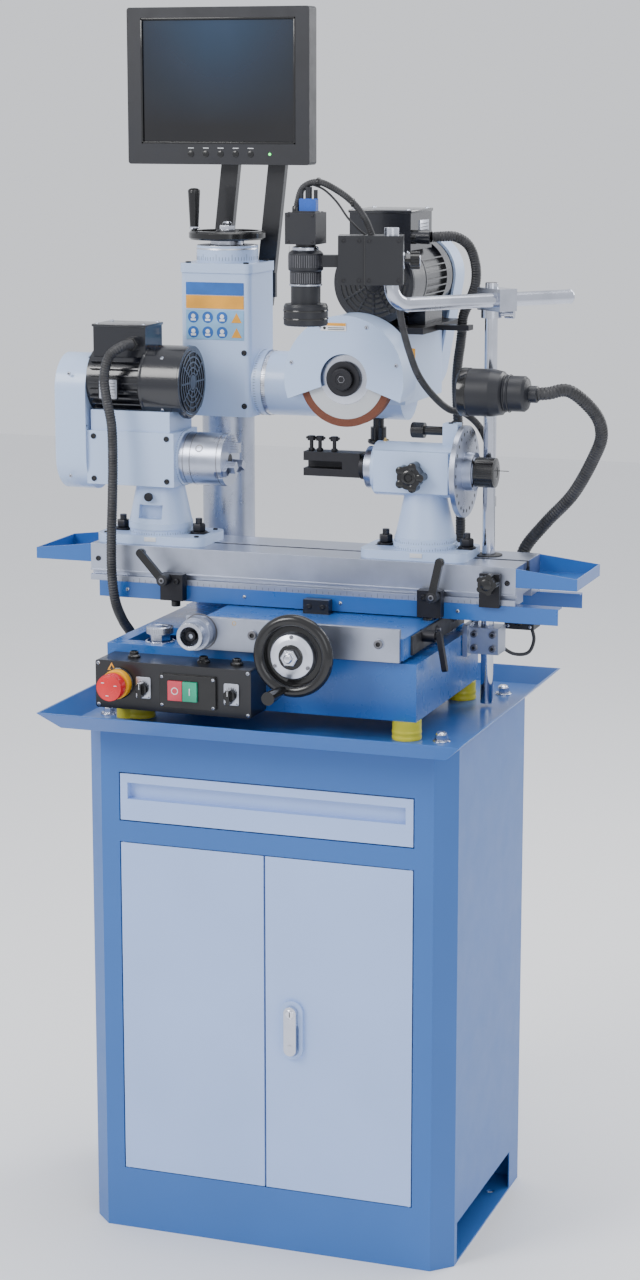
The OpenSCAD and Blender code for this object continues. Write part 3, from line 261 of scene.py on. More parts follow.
def rubber_and_shadow(colour=(0.018, 0.018, 0.02)):
    def build(s):
        tone = s.mix(s.fit(s.noise(60, 5), 0.35, 0.7), colour, shade_of(colour, 2.2))
        return s.surface(Base_Color=tone, Roughness=s.fit(s.noise(35, 3), 0.3, 0.7, 0.42, 0.62),
                         Normal=s.bump(s.noise(1300, 2), 0.15, 0.0002))
    return build


def abrasive():
    """Bonded grit: coarse cells of light and dark grains."""
    def build(s):
        grit = s.cells(1400)
        tone = s.mix(s.fit(grit, 0.2, 0.7), (0.10, 0.030, 0.018), (0.20, 0.07, 0.04))
        return s.surface(Base_Color=tone, Roughness=0.85, Normal=s.bump(grit, 0.7, 0.0008))
    return build


def screen_glass():
    """Dark screen with a faint blue glow that fades towards its edges."""
    low, high = extent("monitor")
    centre = (low + high) / 2

    def build(s):
        parts = s.tree.nodes.new("ShaderNodeSeparateXYZ")
        s.set(parts.inputs[0], s.place)
        fade = s.fit(parts.outputs[2], (low.z + 60) * MM, (high.z - 20) * MM, 0.0, 1.0)
        side = s.math("ABSOLUTE", s.math("SUBTRACT", parts.outputs[0], centre.x * MM))
        glow = s.math("MULTIPLY", fade, s.fit(side, 0.02, 0.15, 1.0, 0.25))
        tone = s.mix(glow, (0.001, 0.001, 0.003), (0.012, 0.035, 0.075))
        return s.surface(Base_Color=tone, Roughness=s.fit(s.noise(12, 3), 0.3, 0.7, 0.1, 0.18),
                         Coat_Weight=0.4)
    return build


def glowing(colour, strength):
    def build(s):
        tone = s.mix(s.noise(300, 2), shade_of(colour, 0.9), colour)
        return s.surface(Base_Color=tone, Roughness=0.3, Emission_Color=tone, Emission_Strength=strength)
    return build


def frosted(colour=(0.75, 0.78, 0.8)):
    def build(s):
        rings = s.cells(260)
        return s.surface(Base_Color=s.mix(rings, shade_of(colour, 0.8), colour), Roughness=0.22,
                         Coat_Weight=0.8,
                         Normal=s.bump(rings, 0.6, 0.001))
    return build


def make_material(name, build, *regions):
    """A material from a surface, with other surfaces inside boxes: (surface, low corner, high corner)."""
    s = Shade(name)
    shader = build(s)
    for other, low, high in regions:
        node = s.tree.nodes.new("ShaderNodeMixShader")
        s.set(node.inputs[0], s.inside(low, high))
        s.set(node.inputs[1], shader)
        s.set(node.inputs[2], other(s))
        shader = node.outputs[0]
    s.tree.links.new(shader, s.out.inputs["Surface"])
    return s.material


CABINET_BLUE = (0.028, 0.125, 0.40)
CAST_BLUE = (0.022, 0.125, 0.42)
PALE_BLUE = (0.36, 0.50, 0.83)
HEAD_GREY = (0.46, 0.59, 0.84)
BLACK = (0.007, 0.0075, 0.011)
STEEL = (0.47, 0.51, 0.62)

SURFACES = {
    "cabinet_paint": paint(CABINET_BLUE, 0.42, 0.12),
    "tray_paint": paint(CABINET_BLUE, 0.34, 0.25),
    "door_paint": paint(PALE_BLUE, 0.45, 0.15, 0.2, 0.2),
    "base_paint": cast(CAST_BLUE, 0.28),
    "guard_paint": paint(CAST_BLUE, 0.3, 0.5),
    "head_paint": cast(HEAD_GREY, 0.4),
    "cover_paint": paint(HEAD_GREY, 0.36, 0.3),
    "black_paint": paint(BLACK, 0.34, 0.3, 0.2, 0.8),
    "motor_black": paint((0.006, 0.007, 0.012), 0.24, 0.5, 0.25, 0.9),
    "black_plastic": plastic((0.010, 0.011, 0.016), 0.42),
    "gloss_black": plastic((0.012, 0.012, 0.013), 0.16, 0.03),
    "black_oxide": metal((0.045, 0.045, 0.05), 0.42, (200, 200, 2), 0.06, 0.8),
    "ground_steel": metal(STEEL, 0.34, (1.5, 260, 260), 0.06),
    "turned_steel": metal(STEEL, 0.26, (260, 260, 2), 0.06),
    "dark_steel_and_shade": metal((0.22, 0.22, 0.24), 0.36, (260, 260, 2), 0.08),
    "chrome": metal((0.70, 0.73, 0.82), 0.07, (40, 40, 1), 0.01, 0.1),
    "zinc": metal((0.60, 0.63, 0.72), 0.2, (60, 60, 60), 0.05),
    "aluminium": metal((0.66, 0.69, 0.78), 0.3, (200, 3, 200), 0.06),
    "cast_aluminium": cast((0.50, 0.52, 0.55), 0.38),
    "brass": metal((0.70, 0.50, 0.20), 0.3, (90, 90, 90), 0.05),
    "rubber_and_shadow": rubber_and_shadow(),
    "red_plastic": plastic((0.62, 0.02, 0.025), 0.28, 0.03),
    "green_plastic": plastic((0.02, 0.34, 0.20), 0.3, 0.03),
    "rose_plastic": plastic((0.62, 0.06, 0.09), 0.3, 0.03),
    "yellow_plastic": plastic((0.85, 0.40, 0.01), 0.34, 0.05),
    "foot_yellow": plastic((0.62, 0.56, 0.03), 0.36, 0.1),
    "blue_plastic": plastic((0.02, 0.09, 0.42), 0.34, 0.08),
    "white_print": plastic((0.75, 0.77, 0.80), 0.45, 0.04),
    "blue_print": plastic((0.02, 0.12, 0.42), 0.4, 0.03),
    "orange_print": plastic((0.80, 0.36, 0.03), 0.4, 0.03),
    "dark_print_and_shade": plastic((0.02, 0.02, 0.022), 0.5, 0.03),
    "label_blue": plastic((0.24, 0.46, 0.70), 0.35, 0.03),
    "abrasive": abrasive(),
    "screen": screen_glass(),
    "led_green": glowing((0.05, 0.9, 0.15), 3.0),
    "frosted": frosted(),
    "lens": plastic((0.01, 0.012, 0.02), 0.04, 0.0),
}
MATERIALS = {name: make_material(name, build) for name, build in SURFACES.items()}


# ---- building pieces ----

class Piece:
    """Gathers shapes in millimetres, each with its own material, and makes one object of them."""

    def __init__(self, name, body, place=None):
        self.name = name
        self.body = body
        self.place = place or Matrix.Identity(4)
        self.mesh = bmesh.new()
        self.slots = []

    def take(self, part, material):
        """Adds the bmesh part and frees it."""
        if material not in self.slots:
            self.slots.append(material)
        number = self.slots.index(material)
        part.transform(self.place)
        bmesh.ops.recalc_face_normals(part, faces=part.faces[:])
        for face in part.faces:
            face.material_index = number
            face.smooth = True
        for edge in part.edges:
            edge.smooth = edge.calc_face_angle(0) < math.radians(32)
        whole = bpy.data.meshes.new("part")
        part.to_mesh(whole)
        part.free()
        self.mesh.from_mesh(whole)
        bpy.data.meshes.remove(whole)

    def box(self, low, high, material, edge=0.5):
        low, high = Vector(low), Vector(high)
        part = bmesh.new()
        bmesh.ops.create_cube(part, size=1)
        size = high - low
        bmesh.ops.scale(part, vec=size, verts=part.verts)
        bmesh.ops.translate(part, vec=(low + high) / 2, verts=part.verts)
        if edge:
            bmesh.ops.bevel(part, geom=part.edges[:], offset=min(edge, min(size) * 0.3), segments=2,
                            affect="EDGES", profile=0.6)
        self.take(part, material)

    def plate(self, outline, low, high, along, material, edge=0.4):
        """An outline in the plane square to one axis, filled and given thickness along it."""
        axis = "xyz".index(along)
        order = {0: (1, 2, 0), 1: (0, 2, 1), 2: (0, 1, 2)}[axis]
        part = bmesh.new()
        ring = []
        for a, b in outline:
            spot = [0, 0, 0]
            spot[order[0]], spot[order[1]], spot[order[2]] = a, b, low
            ring.append(part.verts.new(spot))
        face = part.faces.new(ring)
        made = bmesh.ops.extrude_face_region(part, geom=[face])
        shift = [0, 0, 0]
        shift[axis] = high - low
        bmesh.ops.translate(part, vec=shift,
                            verts=[v for v in made["geom"] if isinstance(v, bmesh.types.BMVert)])
        bmesh.ops.recalc_face_normals(part, faces=part.faces[:])
        if edge:
            rim = [e for e in part.edges if e.calc_face_angle(0) > 0.7]
            bmesh.ops.bevel(part, geom=rim, offset=edge, segments=2, affect="EDGES", profile=0.6,
                            clamp_overlap=True)
        self.take(part, material)

    def lathe(self, at, axis, profile, material, sides=48):
        """A profile of (radius, height) turned round an axis from a point."""
        part = bmesh.new()
        rings = []
        for radius, height in profile:
            if radius < 1e-6:
                rings.append([part.verts.new((0, 0, height))])
                continue
            rings.append([part.verts.new((radius * math.cos(math.tau * k / sides),
                                          radius * math.sin(math.tau * k / sides), height))
                          for k in range(sides)])
        for first, second in zip(rings, rings[1:]):
            for k in range(sides):
                a, b = first[k % len(first)], first[(k + 1) % len(first)]
                c, d = second[(k + 1) % len(second)], second[k % len(second)]
                corners = [v for i, v in enumerate((a, b, c, d)) if v not in (a, b, c, d)[:i]]
                if len(corners) > 2:
                    part.faces.new(corners)
        turn = Vector(axis).to_track_quat("Z", "Y").to_matrix().to_4x4()
        part.transform(Matrix.Translation(at) @ turn)
        self.take(part, material)

    def sweep(self, points, radius, material, sides=12, ribs=0.0, pitch=4.0):
        """A round tube along a smooth route, ribbed when ribs is more than 0."""
        route = [Vector(p) for p in points]
        step = pitch / 4 if ribs else max(2.0, radius * 0.8)
        dense = [route[0]]
        for a, b in zip(route, route[1:]):
            count = max(1, int((b - a).length / step))
            dense += [a.lerp(b, k / count) for k in range(1, count + 1)]
        part = bmesh.new()
        rings = []
        travelled = 0.0
        up = None
        for i, here in enumerate(dense):
            ahead = (dense[min(i + 1, len(dense) - 1)] - dense[max(i - 1, 0)]).normalized()
            if up is None:
                up = ahead.orthogonal().normalized()
            side = (up - ahead * up.dot(ahead)).normalized()
            up = side
            other = ahead.cross(side)
            if i:
                travelled += (here - dense[i - 1]).length
            size = radius - ribs * (0.5 - 0.5 * math.cos(math.tau * travelled / pitch))
            rings.append([part.verts.new(here
                                         + size * (side * math.cos(math.tau * k / sides)
                                                   + other * math.sin(math.tau * k / sides)))
                          for k in range(sides)])
        for first, second in zip(rings, rings[1:]):
            for k in range(sides):
                part.faces.new((first[k], first[(k + 1) % sides], second[(k + 1) % sides], second[k]))
        part.faces.new(rings[0][::-1])
        part.faces.new(rings[-1])
        self.take(part, material)

    def ticks(self, at, axis, radius, count, material, start=0.0, span=360.0, size=(3.2, 0.35), every=5):
        """Graduation marks round a cylinder: longer on every fifth one."""
        turn = Vector(axis).to_track_quat("Z", "Y").to_matrix().to_4x4()
        for k in range(count):
            angle = math.radians(start + span * k / count)
            length = size[0] if k % every else size[0] * 1.7
            part = bmesh.new()
            bmesh.ops.create_cube(part, size=1)
            bmesh.ops.scale(part, vec=(0.3, size[1], length), verts=part.verts)
            bmesh.ops.translate(part, vec=(radius, 0, length / 2), verts=part.verts)
            part.transform(Matrix.Translation(at) @ turn @ Matrix.Rotation(angle, 4, "Z"))
            self.take(part, material)

    def cap_screw(self, at, axis, radius, height, material="black_oxide"):
        """Socket cap screw standing on a face."""
        r, h = radius, height
        self.lathe(at, axis, [(r, 0), (r, h * 0.85), (r * 0.88, h), (r * 0.52, h)], material, 24)
        # The hex socket is coloured near black: painted shade in the recess.
        self.lathe(at, axis, [(r * 0.52, h), (r * 0.5, h * 0.45), (0, h * 0.4)], "dark_print_and_shade", 6)

    def pan_screw(self, at, axis, radius, material="zinc"):
        """Low round head with a cross recess, drawn as two dark bars: painted shade, not a cut."""
        r = radius
        self.lathe(at, axis, [(r, 0), (r * 0.96, r * 0.25), (r * 0.7, r * 0.48), (0, r * 0.58)], material,
                   20)
        turn = Vector(axis).to_track_quat("Z", "Y").to_matrix().to_4x4()
        # The dark bars are painted shade standing in for the cross recess.
        for angle in (0.4, 0.4 + math.pi / 2):
            part = bmesh.new()
            bmesh.ops.create_cube(part, size=1)
            bmesh.ops.scale(part, vec=(r * 1.1, r * 0.22, r * 0.3), verts=part.verts)
            part.transform(Matrix.Translation(at) @ turn @ Matrix.Translation((0, 0, r * 0.47))
                           @ Matrix.Rotation(angle, 4, "Z"))
            self.take(part, "dark_print_and_shade")

    def hex_nut(self, at, axis, radius, height, material="black_oxide", stud=0.0):
        """Hexagon nut with chamfered corners, and its stud's end above it."""
        r, h = radius, height
        self.lathe(at, axis, [(r * 0.92, 0), (r, h * 0.12), (r, h * 0.88), (r * 0.92, h), (r * 0.55, h)],
                   material, 6)
        if stud:
            self.lathe(at, axis,
                       [(r * 0.5, h * 0.9), (r * 0.5, h + stud * 0.85), (r * 0.4, h + stud),
                        (0, h + stud)], "dark_steel_and_shade", 20)

    def make(self, replaces=(), blend=None):
        data = bpy.data.meshes.new(self.name)
        bmesh.ops.scale(self.mesh, vec=(MM, MM, MM), verts=self.mesh.verts)
        self.mesh.to_mesh(data)
        self.mesh.free()
        for name in self.slots:
            data.materials.append(MATERIALS[name])
        thing = bpy.data.objects.new(self.name, data)
        bpy.context.scene.collection.objects.link(thing)
        if blend:
            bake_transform(thing)
        else:
            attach(thing, self.body)
        if replaces:
            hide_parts(*replaces)
        return thing


def circle(x, y, radius, count=32):
    return [(x + radius * math.cos(math.tau * k / count), y + radius * math.sin(math.tau * k / count))
            for k in range(count)]


def rounded(x0, x1, y0, y1, radius, count=6):
    """Outline of a rectangle with round corners."""
    points = []
    for cx, cy, start in ((x1 - radius, y1 - radius, 0), (x0 + radius, y1 - radius, 90),
                          (x0 + radius, y0 + radius, 180), (x1 - radius, y0 + radius, 270)):
        for k in range(count + 1):
            angle = math.radians(start + 90 * k / count)
            points.append((cx + radius * math.cos(angle), cy + radius * math.sin(angle)))
    return points


def smooth_route(points, steps):
    """Catmull-Rom curve through given points."""
    p = [Vector(q) for q in points]
    route = []
    for i in range(len(p) - 1):
        a, b, c, d = p[max(i - 1, 0)], p[i], p[i + 1], p[min(i + 2, len(p) - 1)]
        for s in range(steps):
            t = s / steps
            route.append(0.5 * (2 * b + (c - a) * t + (2 * a - 5 * b + 4 * c - d) * t * t
                                + (3 * b - a - 3 * c + d) * t ** 3))
    return route + [p[-1]]


def turned(at, axis, angle):
    """Placement that turns round an axis through a point."""
    at = Vector(at)
    return Matrix.Translation(at) @ Matrix.Rotation(math.radians(angle), 4,
                                                    Vector(axis)) @ Matrix.Translation(-at)


# ---- surfaces of the CAD nodes ----

def finish_node(node, surface, *regions):
    """One surface over a CAD node, others inside boxes given as (surface, low corner, high corner)."""
    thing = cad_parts[node]
    material = MATERIALS[surface]
    if regions:
        material = make_material(node + "_finish", SURFACES[surface],
                                 *[(SURFACES[name], low, high) for name, low, high in regions])
    thing.data.materials.clear()
    thing.data.materials.append(material)


def finish_nodes():
    table_low, table_high = extent("table")
    saddle_high = extent("saddle")[1]
    bolts = [("black_oxide", (x - 14, 40, table_high.z + 13.8), (x + 14, 72, table_high.z + 45))
             for x in (-338, -206)]
    right_bolts = [("black_oxide", (x - 14, 40, table_high.z + 13.8), (x + 14, 72, table_high.z + 45))
                   for x in (110, 242)]
    finish_node("cabinet_shell", "cabinet_paint")
    finish_node("tray", "tray_paint")
    finish_node("base_casting", "base_paint", ("ground_steel", (9, -180, 950.3), (131, 150, 975)))
    finish_node("feet_and_bolts", "foot_yellow", ("zinc", (-330, -300, 800), (-250, 300, 860)),
                ("zinc", (250, -300, 800), (330, 300, 860)),
                ("zinc", (-240, -200, 945), (-150, -100, 980)))
    finish_node("column", "turned_steel")
    finish_node("control_box", "black_paint", ("gloss_black", (-150, -252, 871), (-57, -244.6, 924)),
                ("yellow_plastic", (-242, -263, 878), (-192, -245.5, 928)))
    for node in ("drawer", "left_door", "right_door"):
        finish_node(node, "door_paint")
    finish_node("door_handle", "zinc")
    finish_node("estop_button", "red_plastic")
    finish_node("off_button", "rose_plastic")
    finish_node("on_button", "green_plastic")
    for node in ("selector_left", "selector_right", "left_stop_lever", "right_stop_lever",
                 "table_clamp_knob", "focus_knob",
                 "head_clamp_knob", "index_pin"):
        finish_node(node, "gloss_black")
    finish_node("saddle", "base_paint",
                ("black_paint", (4, -43, saddle_high.z - 40.5), (50, -20, saddle_high.z)),
                ("ground_steel", (-101, 29, 988.3), (191, 81, 1030)))
    finish_node("saddle_plate", "ground_steel")
    finish_node("saddle_lock", "black_oxide")
    finish_node("cross_handwheel", "gloss_black")
    finish_node("lift_handwheel", "gloss_black")
    finish_node("table_knob", "turned_steel")
    # The table's T-slot, 1 to 21 mm below the top, is coloured dark steel: painted shade inside the slot.
    finish_node("table", "ground_steel",
                ("dark_steel_and_shade", (table_low.x - 1, 30, table_high.z - 21),
                 (table_high.x + 1, 68, table_high.z - 1)))
    finish_node("table_guards", "guard_paint")
    finish_node("table_stops", "black_oxide")
    finish_node("post_clamp", "ground_steel")
    finish_node("left_base", "head_paint", *bolts)
    finish_node("right_head", "head_paint", *right_bolts)
    finish_node("lamp", "black_plastic")
    finish_node("camera_post", "chrome")
    finish_node("bent_tube", "zinc")
    finish_node("optics_bracket", "black_paint")
    finish_node("camera", "black_plastic", ("blue_plastic", (30, -150, 1610.4), (66, -115, 1628.5)))
    finish_node("left_head", "cover_paint")
    finish_node("left_motor", "motor_black")
    finish_node("grinding_motor", "motor_black")
    for node in ("left_belt", "drive_belt", "left_conduit", "motor_conduit", "head_conduit",
                 "camera_cable"):
        finish_node(node, "rubber_and_shadow")
    for node in ("left_rotor", "main_rotor"):
        finish_node(node, "dark_steel_and_shade")
    finish_node("grinding_spindle", "black_oxide")
    finish_node("chuck", "turned_steel")
    finish_node("index_spindle", "turned_steel", ("gloss_black", (257, -60, 1140), (300, 160, 1280)))
    finish_node("tool_holder", "black_oxide")
    finish_node("tower", "cover_paint")
    finish_node("monitor_arms", "black_paint")
    finish_node("monitor", "black_plastic")
    finish_node("tilt_arm", "cover_paint", ("black_oxide", (14, 80, 1413.9), (220, 290, 1425)),
                ("gloss_black", (28, 180, 1220), (68, 226, 1269)))
    finish_node("wheel_guard", "cover_paint")
    finish_node("belt_cover", "cover_paint")
    finish_node("grinding_wheel", "abrasive")


# ---- stand and controls ----

def build_stand():
    piece = Piece("door_lock", "door_handle")
    piece.lathe((46, -214.6, 394), -Y, [(7.5, -1), (7.5, 0.5), (6.6, 1.1), (6.2, 0.7), (0, 0.7)], "chrome",
                32)
    # Dark key slot on the lock face: painted shade in the keyway.
    piece.box((45.3, -215.8, 390), (46.7, -215.1, 398), "dark_print_and_shade", 0)
    piece.lathe((46, -214.6, 340), -Y, [(7, -1), (7, 0.2), (4, 0.9), (0, 1)], "zinc", 32)
    piece.make()

    piece = Piece("tray_fixings", "stand")
    for x, y in ((-270, -165), (270, -165), (-270, 176), (270, 176)):
        piece.lathe((x, y, 833), Z, [(13.5, 0), (13.5, 1.4), (12.8, 2)], "zinc", 32)
        piece.lathe((x, y, 843.6), Z, [(8.8, 0), (8, 2.4), (5, 4.6), (0, 5.4)], "chrome", 24)
    for x, y in ((-216, -165), (216, -165), (-216, 125), (216, 125)):
        piece.lathe((x, y, 834), Z,
                    [(22.4, 0), (22.8, 3), (21.5, 6), (22.6, 9), (22.6, 12), (21.2, 16), (22.2, 20),
                     (21.8, 26)], "foot_yellow", 40)
    piece.make()

    piece = Piece("deck_fittings", "stand")
    piece.lathe((-190, -148, 950), Z, [(23, 0), (23, 2), (20, 3)], "zinc", 40)
    piece.ticks((-190, -148, 965.2), Z, 21, 40, "dark_steel_and_shade", size=(7, 0.5), every=99)
    piece.lathe((-190, -148, 974), Z, [(17, 0), (16, 1), (12, 1), (11, 0.3), (0, 0.3)], "zinc", 40)
    piece.pan_screw((-150, -120, 950), Z, 4)
    for x in (28, 112):
        for y in (-150, 125):
            piece.cap_screw((x, y, 970), Z, 5, 2.5)
    for y in (-168, 142):
        piece.box((8, y - 3, 950), (48, y + 3, 973), "rubber_and_shadow", 1)
        piece.box((92, y - 3, 950), (132, y + 3, 973), "rubber_and_shadow", 1)
    piece.make()

    piece = Piece("control_trim", "stand")
    for x, z in ((-251, 868), (-251, 932), (-8, 868), (-8, 932)):
        piece.pan_screw((x, -245, z), -Y, 3)
    for x, z in ((-145, 876), (-145, 919), (-62, 876), (-62, 919)):
        piece.pan_screw((x, -250, z), -Y, 2.6, "zinc")
    piece.lathe((-217, -245, 903), -Y, [(24, 0), (24, 3), (22.4, 4)], "gloss_black", 48)
    piece.lathe((-217, -261, 903), -Y, [(22.2, -14), (22.4, -2), (21, 0.2), (16, 0.6), (13, 0.1)],
                "yellow_plastic", 48)
    for x in (-177, -34):
        piece.plate(rounded(x - 12, x + 12, 882, 915, 2.5), -246.6, -244.8, "y", "aluminium")
        for k in range(7):
            angle = math.radians(30 + 20 * k)
            cx, cz = x + 10.5 * math.cos(angle), 898 + 10.5 * math.sin(angle)
            piece.box((cx - 0.4, -246.9, cz - 1.5), (cx + 0.4, -246.5, cz + 1.5), "dark_print_and_shade", 0)
        for side in (-9.5, 9.5):
            piece.pan_screw((x + side, -246.6, 884.6), -Y, 1.3)
    triangle = [(-236, 922), (-222, 922), (-229, 934)]
    piece.plate(triangle, -245.6, -244.9, "y", "orange_print", 0)
    piece.plate([(-232.5, 924), (-225.5, 924), (-229, 930)], -245.8, -245.5, "y", "dark_print_and_shade", 0)
    for x in (-206, -92, -38):
        piece.lathe((x, -212, 937), Z, [(10, -1), (10, 3), (7, 5), (7, 9), (5, 10)], "gloss_black", 24)
    piece.make()

    for name, body, low, high, material in (("off_mark", "off_button", -133, -112, "white_print"),
                                            ("on_mark", "on_button", -109, -88, "white_print")):
        piece = Piece(name, body)
        cx = (low + high) / 2
        if name == "off_mark":
            piece.lathe((cx, -254, 899), -Y, [(5.6, -0.2), (5.6, 0.3), (4.3, 0.3), (4.3, -0.2)], material,
                        32)
        else:
            piece.box((cx - 0.8, -254.3, 893.5), (cx + 0.8, -253.8, 904.5), material, 0)
        piece.make()

    piece = Piece("estop_face", "estop_button")
    piece.lathe((-217, -285, 903), -Y, [(20.2, -17), (20.6, -4), (19.5, -0.5), (17, 0.7), (0, 1.0)],
                "red_plastic", 48)
    for turn in (0, 120, 240):
        angle = math.radians(turn + 20)
        cx, cz = -217 + 12 * math.cos(angle), 903 + 12 * math.sin(angle)
        piece.box((cx - 2.4, -286.4, cz - 0.5), (cx + 2.4, -285.6, cz + 0.5), "white_print", 0)
    piece.make()

    for name, x in (("selector_left", -177), ("selector_right", -34)):
        piece = Piece(name + "_mark", name)
        piece.lathe((x, -257, 898), -Y, [(9.4, -10), (9.4, -2), (8.4, 0.2)], "gloss_black", 36)
        piece.box((x - 0.5, -263.4, 899), (x + 0.5, -262.8, 907), "white_print", 0)
        piece.make()


# ---- slides and handwheels ----

def build_slides():
    piece = Piece("saddle_fittings", "saddle")
    for x in (-20, 180):
        piece.cap_screw((x, -192, 980), -Y, 7, 4.5, "dark_steel_and_shade")
    piece.lathe((-50, -192, 996), -Y, [(3.4, -0.5), (3.4, 0.4), (2.4, 0.4), (2.2, -0.4), (0, -0.5)],
                "brass", 20)
    piece.lathe((90, -192, 994), -Y, [(2.6, -0.5), (2.6, 0.3), (1.6, 0.3), (0, 0)], "brass", 20)
    piece.lathe((67, -192.4, 966), -Y, [(30, 0), (30, 1.2), (25.5, 1.2)], "dark_steel_and_shade", 40)
    piece.lathe((-105, -192.2, 980), -Y, [(28, 0), (28, 0.9), (26, 0.9)], "dark_steel_and_shade", 40)
    piece.box((66.4, -193, 993), (67.6, -191.8, 999), "dark_print_and_shade", 0)
    piece.box((-105.6, -193, 999), (-104.4, -191.8, 1003), "dark_print_and_shade", 0)
    for x in (-90, -55, 60, 120, 170):
        piece.cap_screw((x, -150, 988), Z, 5, 3)
    piece.lathe((-20, -160, 988), Z, [(4.5, 0), (4.5, 3), (2.2, 5), (2.2, 9), (0, 9.6)], "brass", 20)
    piece.box((-134, -180, 957), (-127, 120, 986), "rubber_and_shadow", 1.2)
    piece.box((215.5, -150, 957), (220, 120, 986), "rubber_and_shadow", 1.2)
    for y in (-90, -30, 60):
        piece.hex_nut((216, y, 975), X, 6, 5, "black_oxide", 6)
    for x in (16, 38):
        piece.cap_screw((x, -41, 999), -Y, 4.2, 1.6)
    piece.make()

    piece = Piece("cross_dial", "cross_handwheel")
    piece.lathe((67, -233.2, 966), Y, [(23, 0), (24.3, 0.8), (24.3, 33), (26.5, 34), (26.5, 39), (24, 40)],
                "aluminium", 64)
    piece.ticks((67, -206, 966), -Y, 24.3, 50, "dark_print_and_shade", size=(4.2, 0.5))
    piece.lathe((67, -262, 966), -Y, [(36, -16), (36, -8), (33, -3), (27, -0.5), (25, 0.3), (0, 0.3)],
                "aluminium", 64)
    piece.lathe((67, -262, 966), -Y, [(19, -1), (19, 2.2), (17.5, 3.2), (0, 3.2)], "gloss_black", 48)
    piece.lathe((67, -265, 966), -Y, [(13, 0), (13.6, 1), (13.6, 7), (12, 8.5), (7, 8.5)], "chrome", 6)
    piece.lathe((67, -273, 966), -Y, [(7.6, 0), (7, 4), (5, 6.4), (0, 7.4)], "chrome", 32)
    for k in range(3):
        angle = math.radians(90 + 120 * k)
        piece.lathe((67 + 30 * math.cos(angle), -262, 966 + 30 * math.sin(angle)), -Y,
                    [(2.8, -2), (2.8, 0.6), (1.6, 0.6), (0, 0)], "dark_steel_and_shade", 16)
    piece.make()

    piece = Piece("table_dial", "table_knob")
    piece.ticks((-105, -202, 980), -Y, 25, 60, "dark_steel_and_shade", size=(13, 0.5), every=99)
    piece.ticks((-105, -236.5, 980), Y, 21, 50, "dark_print_and_shade", size=(4, 0.35))
    piece.lathe((-105, -221, 980), -Y, [(14.6, -1), (14.6, 1), (11, 2), (0, 2)], "black_oxide", 40)
    piece.cap_screw((-105, -223, 980), -Y, 8, 9)
    piece.lathe((-105, -236, 980), -Y, [(21.2, -3), (20.4, 0.4), (15.6, 0.6), (15, -0.4), (15, -14)],
                "chrome", 48)
    piece.make()


